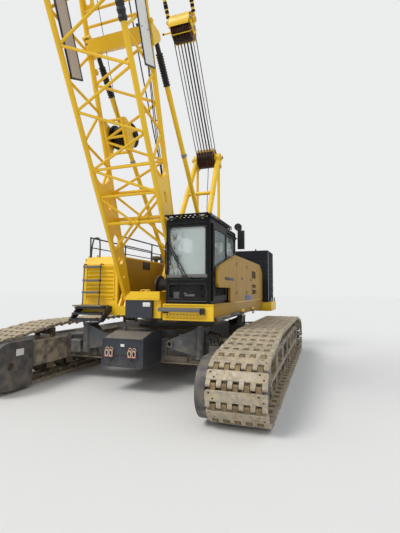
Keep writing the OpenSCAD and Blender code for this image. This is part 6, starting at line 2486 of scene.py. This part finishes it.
    def build(self) -> None:
        """Makes the boom's trim."""
        dress(Skin.BOOM, "boom_butt", "boom_insert_lower", "boom_insert_upper", "boom_head")
        dress(Skin.SHEAVE, "head_sheaves")
        dress(Skin.CAB, "boom_winch")
        dress(Skin.GALVANISED, "boom_walkway")
        shaped("boom_butt_trim", "boom", (Skin.BOOM, Skin.STEEL, Skin.PLASTIC), self._butt, self._wraps)
        shaped("section_pins", "boom", (Skin.BOOM, Skin.STEEL), self._section_pins)
        shaped("lacing_beads", "boom", (Skin.BOOM,), self._beads)
        shaped("boom_head_trim", "boom", (Skin.BOOM, Skin.STEEL), self._head)
        shaped("side_board", "boom", (Skin.PLATE, Skin.SLATE), self._board)
        shaped("butt_walkway", "boom", (Skin.PLANK, Skin.SLATE), self._plank)
        shaped("walkway_grating", "boom", (Skin.GALVANISED,), self._grating)
        shaped("walkway_clips", "boom", (Skin.STEEL,), self._clips)
        shaped("cable_clips", "boom", (Skin.STEEL,), self._cable_clips)
        self._winch()
        self._hoist_ropes()
        self._cables()


# Rigging


@dataclass
class Rigging:
    """The luffing ropes, spreader, pendants, backstops, hook rope, block and hook."""

    falls: int = 6
    spacing: float = 0.096
    sheave: float = 0.28
    reach: float = 3.65
    plate_y: float = 0.305
    lift: float = 0.2
    pendant_inner: float = 0.37
    pendant_outer: float = 0.58
    pendant_parts: int = 3
    rope: float = 0.0135
    stop_foot: tuple[float, float, float] = (-1.33, 0.65, 1.98)
    stop_tube: float = 5.36
    stop_neck: float = 0.28
    stop_offset: float = 0.26
    bellows_length: float = 0.59
    bellows_folds: int = 13
    drop: float = 2.6

    def _strung(self, node: str, name: str, lines: Sequence[Sequence[Point]], bodies: tuple[str, str],
                start: Point, end: Point) -> None:
        """Strings ropes that stretch from one body to another in the place of a CAD node.

        Args:
            node: CAD node that they replace.
            name: Name of the piece.
            lines: Points that each rope passes.
            bodies: The bodies at their start and at their end.
            start: Where they leave the first body; not used.
            end: Where they meet the second body; not used.
        """
        piece = strands(name, lines, self.rope, 8)
        bpy.context.scene.collection.objects.link(piece)
        piece.data.materials.append(Skin.ROPE.material())
        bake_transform(piece)
        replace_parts(piece, node)
        log.info("%s stretches from %s to %s", piece.name, *bodies)

    def _ropes(self) -> None:
        """Strings the luffing ropes and the hook ropes between their sheaves."""
        x, z = AT.shaft
        rows = [(i - (self.falls - 1) / 2) * self.spacing for i in range(self.falls)]
        lines = [straight(AT.line(side * self.sheave, 0.0, y), AT.line(side * self.sheave, self.reach, y), 10)
                 for y in rows for side in SIDES]
        self._strung("rope_falls", "luffing_falls", lines, ("luffing_line", "spreader"), AT.line(0, 0.0),
                     AT.line(0, self.reach))
        lines = [straight((x + side * self.sheave, y, z), (x + side * self.sheave, y, z - self.drop), 8)
                 for y in (-0.048, 0.048) for side in SIDES]
        self._strung("hook_rope", "hook_falls", lines, ("hoist_line", "hook_block"),
                     (x, 0, z), (x, 0, z - self.drop))

    def _by_spreader(self, radius: float, degrees: float, across: float) -> Vector:
        """A point round the spreader's axle."""
        a = math.radians(degrees)
        return AT.line(radius * math.cos(a), self.reach + radius * math.sin(a), across)

    def _spreader(self, form: Form) -> None:
        """Adds the rivets, pins, bar ends and rope guards of the spreader.

        Args:
            form: Mesh that it adds to.
        """
        for side in SIDES:
            y, out = side * (self.plate_y + 0.015), side * Y
            centre = AT.line(0, self.reach, y)
            form.paint = 0
            form.bolts([self._by_spreader(0.105, angle, y) for angle in range(15, 360, 60)], out, 0.011)
            form.lathe([(0.0, 0.066), (0.008, 0.070), (0.010, 0.090), (0.0, 0.094)], centre, out, 32)
            form.bolts([self._by_spreader(r, angle, y) for angle in (38, 142) for r in (0.16, 0.31)], out,
                       0.010)
            form.paint = 1
            form.cap([(0.0, 0.062), (0.012, 0.066), (0.030, 0.060)], centre, out, 28)
            eye = AT.line(0, self.reach + self.lift, side * 0.395)
            form.cap([(0.0, 0.054), (0.012, 0.054), (0.016, 0.044)], eye, out, 24)
            form.rod(eye + 0.006 * out - 0.05 * X, eye + 0.006 * out + 0.05 * X, 0.006, 8)
            form.cap([(0.0, 0.050), (0.012, 0.050), (0.012, 0.030), (0.028, 0.028)],
                     AT.line(0.24, self.reach + 0.25, side * 0.335), out, 20)
        form.paint = 2
        form.rod(AT.line(0.11, self.reach + 0.02, -0.585), AT.line(0.11, self.reach + 0.02, -0.54), 0.028, 16,
                 bevel=0.006)
        form.paint = 0
        form.guards(lambda out, up, y: AT.line(out, self.reach + up, y), (250, 290, 190, 350), 0.325,
                    self.plate_y - 0.02)
        for angle in (62, 90, 118):
            away = self._by_spreader(0.40, angle, 0.0) - AT.line(0, self.reach)
            form.bolts([self._by_spreader(0.40, angle, y) for y in (-0.16, 0.16)], away, 0.016)

    def _pendants(self, form: Form) -> None:
        """Adds the eye bushes, pins and dark wrapped bands of the pendants.

        Args:
            form: Mesh that it adds to.
        """
        low = self.reach + self.lift
        for side in SIDES:
            first = AT.line(0, low, side * self.pendant_inner)
            ends = straight(first, AT.line(0, AT.line_length, side * self.pendant_outer), self.pendant_parts)
            for place in ends:
                for way in (-Y, Y):
                    form.paint = 1
                    form.cap([(0.0, 0.046), (0.014, 0.046), (0.018, 0.036)], place + 0.025 * way, way, 20)
                    form.paint = 0
                    form.lathe([(0.0, 0.052), (0.006, 0.052), (0.006, 0.080), (0.0, 0.085)],
                               place + 0.025 * way, way, 24)
            for a, b in zip(ends, ends[1:]):
                way = (b - a).normalized()
                form.paint = 0
                for spot, along in ((a, way), (b, -way)):
                    form.rod(spot + 0.082 * along, spot + 0.26 * along, 0.040, 16, tip=0.025, bevel=0.004)
                form.rod(a + 0.22 * way, a + 1.78 * way, 0.047, 14)
                form.paint = 2
                for k in range(14):
                    spot = a + (0.16 + 0.11 * k) * way
                    form.rod(spot, spot + (0.050 + 0.024 * (k % 3)) * way, 0.059 - 0.005 * (k % 2), 12)

    def _backstop(self, side: int) -> None:
        """Makes a tube's collars and, in place of the plain rod, a bright rod with folded bellows.

        Args:
            side: 1 for the left one, -1 for the right one.
        """
        x, y, z = self.stop_foot
        foot, end = Vector((x, side * y, z)), AT.boom(-AT.half_depth(AT.box_at) - self.stop_offset, AT.box_at,
                                                      side * y)
        length, across = (end - foot).length, side * Y
        way = (end - foot) / length
        neck, fold = length - self.stop_neck, self.bellows_length / self.bellows_folds
        low = neck - self.bellows_length

        def collars(form: Form) -> None:
            """Adds the collars and eye rings of the tube.

            Args:
                form: Mesh that it adds to.
            """
            form.lathe([(0.13, 0.030), (0.13, 0.064), (0.17, 0.064), (0.20, 0.054)], foot, way, 28)
            form.lathe([(self.stop_tube - 0.30, 0.052), (self.stop_tube - 0.30, 0.0565),
                        (self.stop_tube - 0.10, 0.0565)],
                       foot, way, 28)
            for out in (-across, across):
                form.lathe([(0.0, 0.034), (0.005, 0.034), (0.005, 0.050), (0.0, 0.054)],
                           foot + 0.030 * out, out, 20)
            form.paint = 1
            form.lathe([(3.86, 0.052), (3.86, 0.060), (3.94, 0.060), (3.94, 0.052)], foot, way, 28)
            form.rod(foot + 3.90 * way + 0.055 * across, foot + 3.90 * way + 0.085 * across, 0.010, 10)

        def bellows(form: Form) -> None:
            """Adds the bellows with its clamps, the rod and the eye.

            Args:
                form: Mesh that it adds to.
            """
            profile = [(low, 0.059), (low, 0.0675)]
            for i in range(self.bellows_folds):
                profile += [(low + (i + share) * fold, radius)
                            for share,
                            radius in ((0.08, 0.0590), (0.42, 0.0730), (0.58, 0.0730), (0.92, 0.0590))]
            form.lathe([*profile, (neck, 0.0660), (neck + 0.002, 0.0385)], foot, way, 32)
            form.lathe([(neck, 0.0375), (neck, 0.0475), (length - 0.075, 0.0450), (length - 0.075, 0.0375)],
                       foot, way, 28)
            form.paint = 1
            form.rod(foot + 1.70 * way, end - 0.06 * way, 0.0378, 24)
            form.lathe([(-0.022, 0.036), (-0.022, 0.066), (-0.018, 0.070), (0.018, 0.070), (0.022, 0.066),
                        (0.022, 0.036), (-0.022, 0.036)], end, across, 32)
            form.cap([(-0.024, 0.034), (0.024, 0.034)], end, across, 20)
            form.paint = 2
            for at in (low + 0.012, neck - 0.016):
                form.lathe([(at - 0.007, 0.0655), (at - 0.007, 0.0695), (at + 0.007, 0.0695),
                            (at + 0.007, 0.0655)],
                           foot, way, 32)

        name = SIDES[side]
        shaped(f"backstop_collar_{name}", f"backstop_tube_{name}", (Skin.YELLOW, Skin.STEEL), collars)
        rod = f"backstop_rod_{name}"
        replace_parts(shaped(f"backstop_bellows_{name}", rod, (Skin.BELLOWS, Skin.STEEL, Skin.GREASED),
                           bellows), rod)

    def _block(self, form: Form) -> None:
        """Adds the bolts, guards and bands of the hook block.

        Args:
            form: Mesh that it adds to.
        """
        x, z = AT.shaft[0], AT.shaft[1] - self.drop
        for spot in around((x, 0, z), 0.322, (-20, 200, 35, 145)):
            form.rod(spot - 0.135 * Y, spot + 0.135 * Y, 0.011, 10)
        for side in SIDES:
            face = (x, side * 0.17, z)
            form.paint = 0
            form.bolts(around(face, 0.30, range(0, 360, 36)), side * Y, 0.012)
            form.paint = 1
            form.cap([(0.0, 0.075), (0.015, 0.078), (0.024, 0.068)], face, side * Y, 28)
            form.paint = 2
            form.slabs((0.03, 0.002, 0.05), 0.0, *((0.14 * k - 0.25, 0, 0) for k in range(4)),
                       at=tilted((x, side * 0.17, z - 0.44), -35))

    def _hook(self, form: Form) -> None:
        """Adds the hook's nut, latch and bearing.

        Args:
            form: Mesh that it adds to.
        """
        x, z = AT.shaft[0], AT.shaft[1] - self.drop
        form.lathe([(-0.395, 0.052), (-0.395, 0.074), (-0.390, 0.078), (-0.350, 0.078), (-0.345, 0.070),
                    (-0.345, 0.0)],
                   (x, 0, z), Z, 6)
        tip = around((x - 0.03, 0, z - 1.10), 0.19, (20,))[0]
        for side in (-0.020 * Y, 0.020 * Y):
            form.rod(Vector((x - 0.015, 0, z - 0.945)) + side, tip + side, 0.006, 8)
        form.rod((x - 0.015, -0.07, z - 0.945), (x - 0.015, 0.07, z - 0.945), 0.012, 12)
        form.lathe([(-0.05, 0.050), (-0.045, 0.056), (0.045, 0.056), (0.05, 0.050)], (x, 0, z - 0.74), Z, 24)

    def build(self) -> None:
        """Makes the rigging's pieces."""
        dress(Skin.YELLOW, "spreader", "pendants", "hook_block", "backstop_tube_left", "backstop_tube_right")
        dress(Skin.SHEAVE, "spreader_sheaves")
        dress(Skin.SLATE, "hook")
        dress(Skin.ROPE, "rope_falls", "hook_rope")
        dress(Skin.BELLOWS, "backstop_rod_left", "backstop_rod_right")
        self._ropes()
        shaped("spreader_trim", "spreader", (Skin.YELLOW, Skin.STEEL, Skin.CAB), self._spreader)
        shaped("pendant_trim", "spreader", (Skin.YELLOW, Skin.STEEL, Skin.CAB), self._pendants)
        for side in SIDES:
            self._backstop(side)
        shaped("hook_block_trim", "hook_block", (Skin.YELLOW, Skin.STEEL, Skin.CAB), self._block)
        shaped("hook_trim", "hook", (Skin.SLATE,), self._hook)


# Studio


@dataclass(frozen=True)
class Studio:
    """A plain pale floor and soft light from the front right of the machine."""

    floor_half: float = 120.0
    floor_colour: Colour = (0.86, 0.86, 0.855)
    sky_colour: Colour = (0.925, 0.928, 0.93)
    sun_strength: float = 1.65
    sun_angle: float = math.radians(24.0)
    sun_from: tuple[float, float, float] = (0.55, -0.5, 0.95)
    sun_colour: Colour = (1.0, 0.98, 0.94)
    fill_strength: float = 0.78
    fill_colour: Colour = (0.93, 0.96, 1.0)

    def _floor(self) -> None:
        """Lays the floor."""
        bm = bmesh.new()
        bmesh.ops.create_grid(bm, x_segments=1, y_segments=1, size=self.floor_half)
        mesh = bpy.data.meshes.new("floor")
        bm.to_mesh(mesh)
        bm.free()
        floor = bpy.data.objects.new("floor", mesh)
        g = Graph("studio_floor")
        shade = g.noise(0.35, 4.0).smooth(0.2, 0.8)
        pale = linear(self.floor_colour)
        mesh.materials.append(g.finish(g.mix(shade * 0.15, pale, tuple(0.9 * c for c in pale)), 0.9))
        bpy.context.scene.collection.objects.link(floor)

    def _sky(self) -> None:
        """Lights the scene evenly and shows a pale background to the camera and to what mirrors it."""
        world = bpy.data.worlds.new("studio")
        bpy.context.scene.world = world
        world.use_nodes = True
        nodes, links = world.node_tree.nodes, world.node_tree.links
        nodes.clear()
        seen, lit = (nodes.new("ShaderNodeBackground") for _ in range(2))
        seen.inputs["Color"].default_value = (*linear(self.sky_colour), 1.0)
        lit.inputs["Color"].default_value = (*self.fill_colour, 1.0)
        lit.inputs["Strength"].default_value = self.fill_strength
        rays = nodes.new("ShaderNodeLightPath").outputs
        shown = rays["Is Camera Ray"]
        for kind in ("Is Transmission Ray", "Is Glossy Ray"):
            either = nodes.new("ShaderNodeMath")
            either.operation = "MAXIMUM"
            links.new(shown, either.inputs[0])
            links.new(rays[kind], either.inputs[1])
            shown = either.outputs[0]
        mixed, out = nodes.new("ShaderNodeMixShader"), nodes.new("ShaderNodeOutputWorld")
        for source, socket in zip((shown, lit.outputs[0], seen.outputs[0]), mixed.inputs):
            links.new(source, socket)
        links.new(mixed.outputs[0], out.inputs[0])

    def _sun(self) -> None:
        """Hangs one soft key light."""
        lamp = bpy.data.lights.new("key", "SUN")
        lamp.energy = self.sun_strength
        lamp.angle = self.sun_angle
        lamp.color = self.sun_colour
        key = bpy.data.objects.new("key", lamp)
        key.rotation_mode = "QUATERNION"
        key.rotation_quaternion = Vector(self.sun_from).to_track_quat("Z", "Y")
        bpy.context.scene.collection.objects.link(key)

    def build(self) -> None:
        """Sets up the floor, the sky and the key light."""
        self._floor()
        self._sky()
        self._sun()
        bpy.context.scene.view_settings.view_transform = "Standard"


@dataclass(frozen=True)
class Viewpoint:
    """The camera, standing where the photograph was taken from."""

    position: tuple[float, float, float] = (8.4539, 3.5724, 1.9144)
    heading: float = math.radians(19.1925)
    pitch: float = math.radians(3.8448)
    roll: float = math.radians(-0.1892)
    focal_pixels: float = 353.753
    picture_height: float = 533.0
    sensor: float = 36.0
    far: float = 500.0

    def build(self) -> None:
        """Makes the camera and shows the scene through it."""
        data = bpy.data.cameras.new("camera")
        data.sensor_width = self.sensor
        data.lens = self.focal_pixels / self.picture_height * self.sensor
        data.clip_end = self.far
        ahead = -math.cos(self.heading) * X - math.sin(self.heading) * Y
        right = math.cos(self.heading) * Y - math.sin(self.heading) * X
        look = math.cos(self.pitch) * ahead + math.sin(self.pitch) * Z
        down = math.sin(self.pitch) * ahead - math.cos(self.pitch) * Z
        c, s = math.cos(self.roll), math.sin(self.roll)
        across, along = c * right + s * down, -s * right + c * down
        camera = bpy.data.objects.new("camera", data)
        camera.matrix_world = axes(self.position, across, -along, -look)
        bpy.context.scene.collection.objects.link(camera)
        bpy.context.scene.camera = camera


def main() -> None:
    """Builds the crane piece by piece."""
    logging.basicConfig(level=logging.INFO, format="%(message)s")
    Viewpoint().build()
    Studio().build()
    parts = [Track(1), Track(-1), Carrier(), Deck(), Ballast(), Mast(), Cab(), Boom(), Rigging()]
    parts += [Winch("main_winch", 0.42), Winch("aux_winch", -0.70), Winch("luffing_winch", -2.17)]
    for part in parts:
        part.build()
        log.info("%s is built", type(part).__name__)


if __name__ == "__main__":
    main()
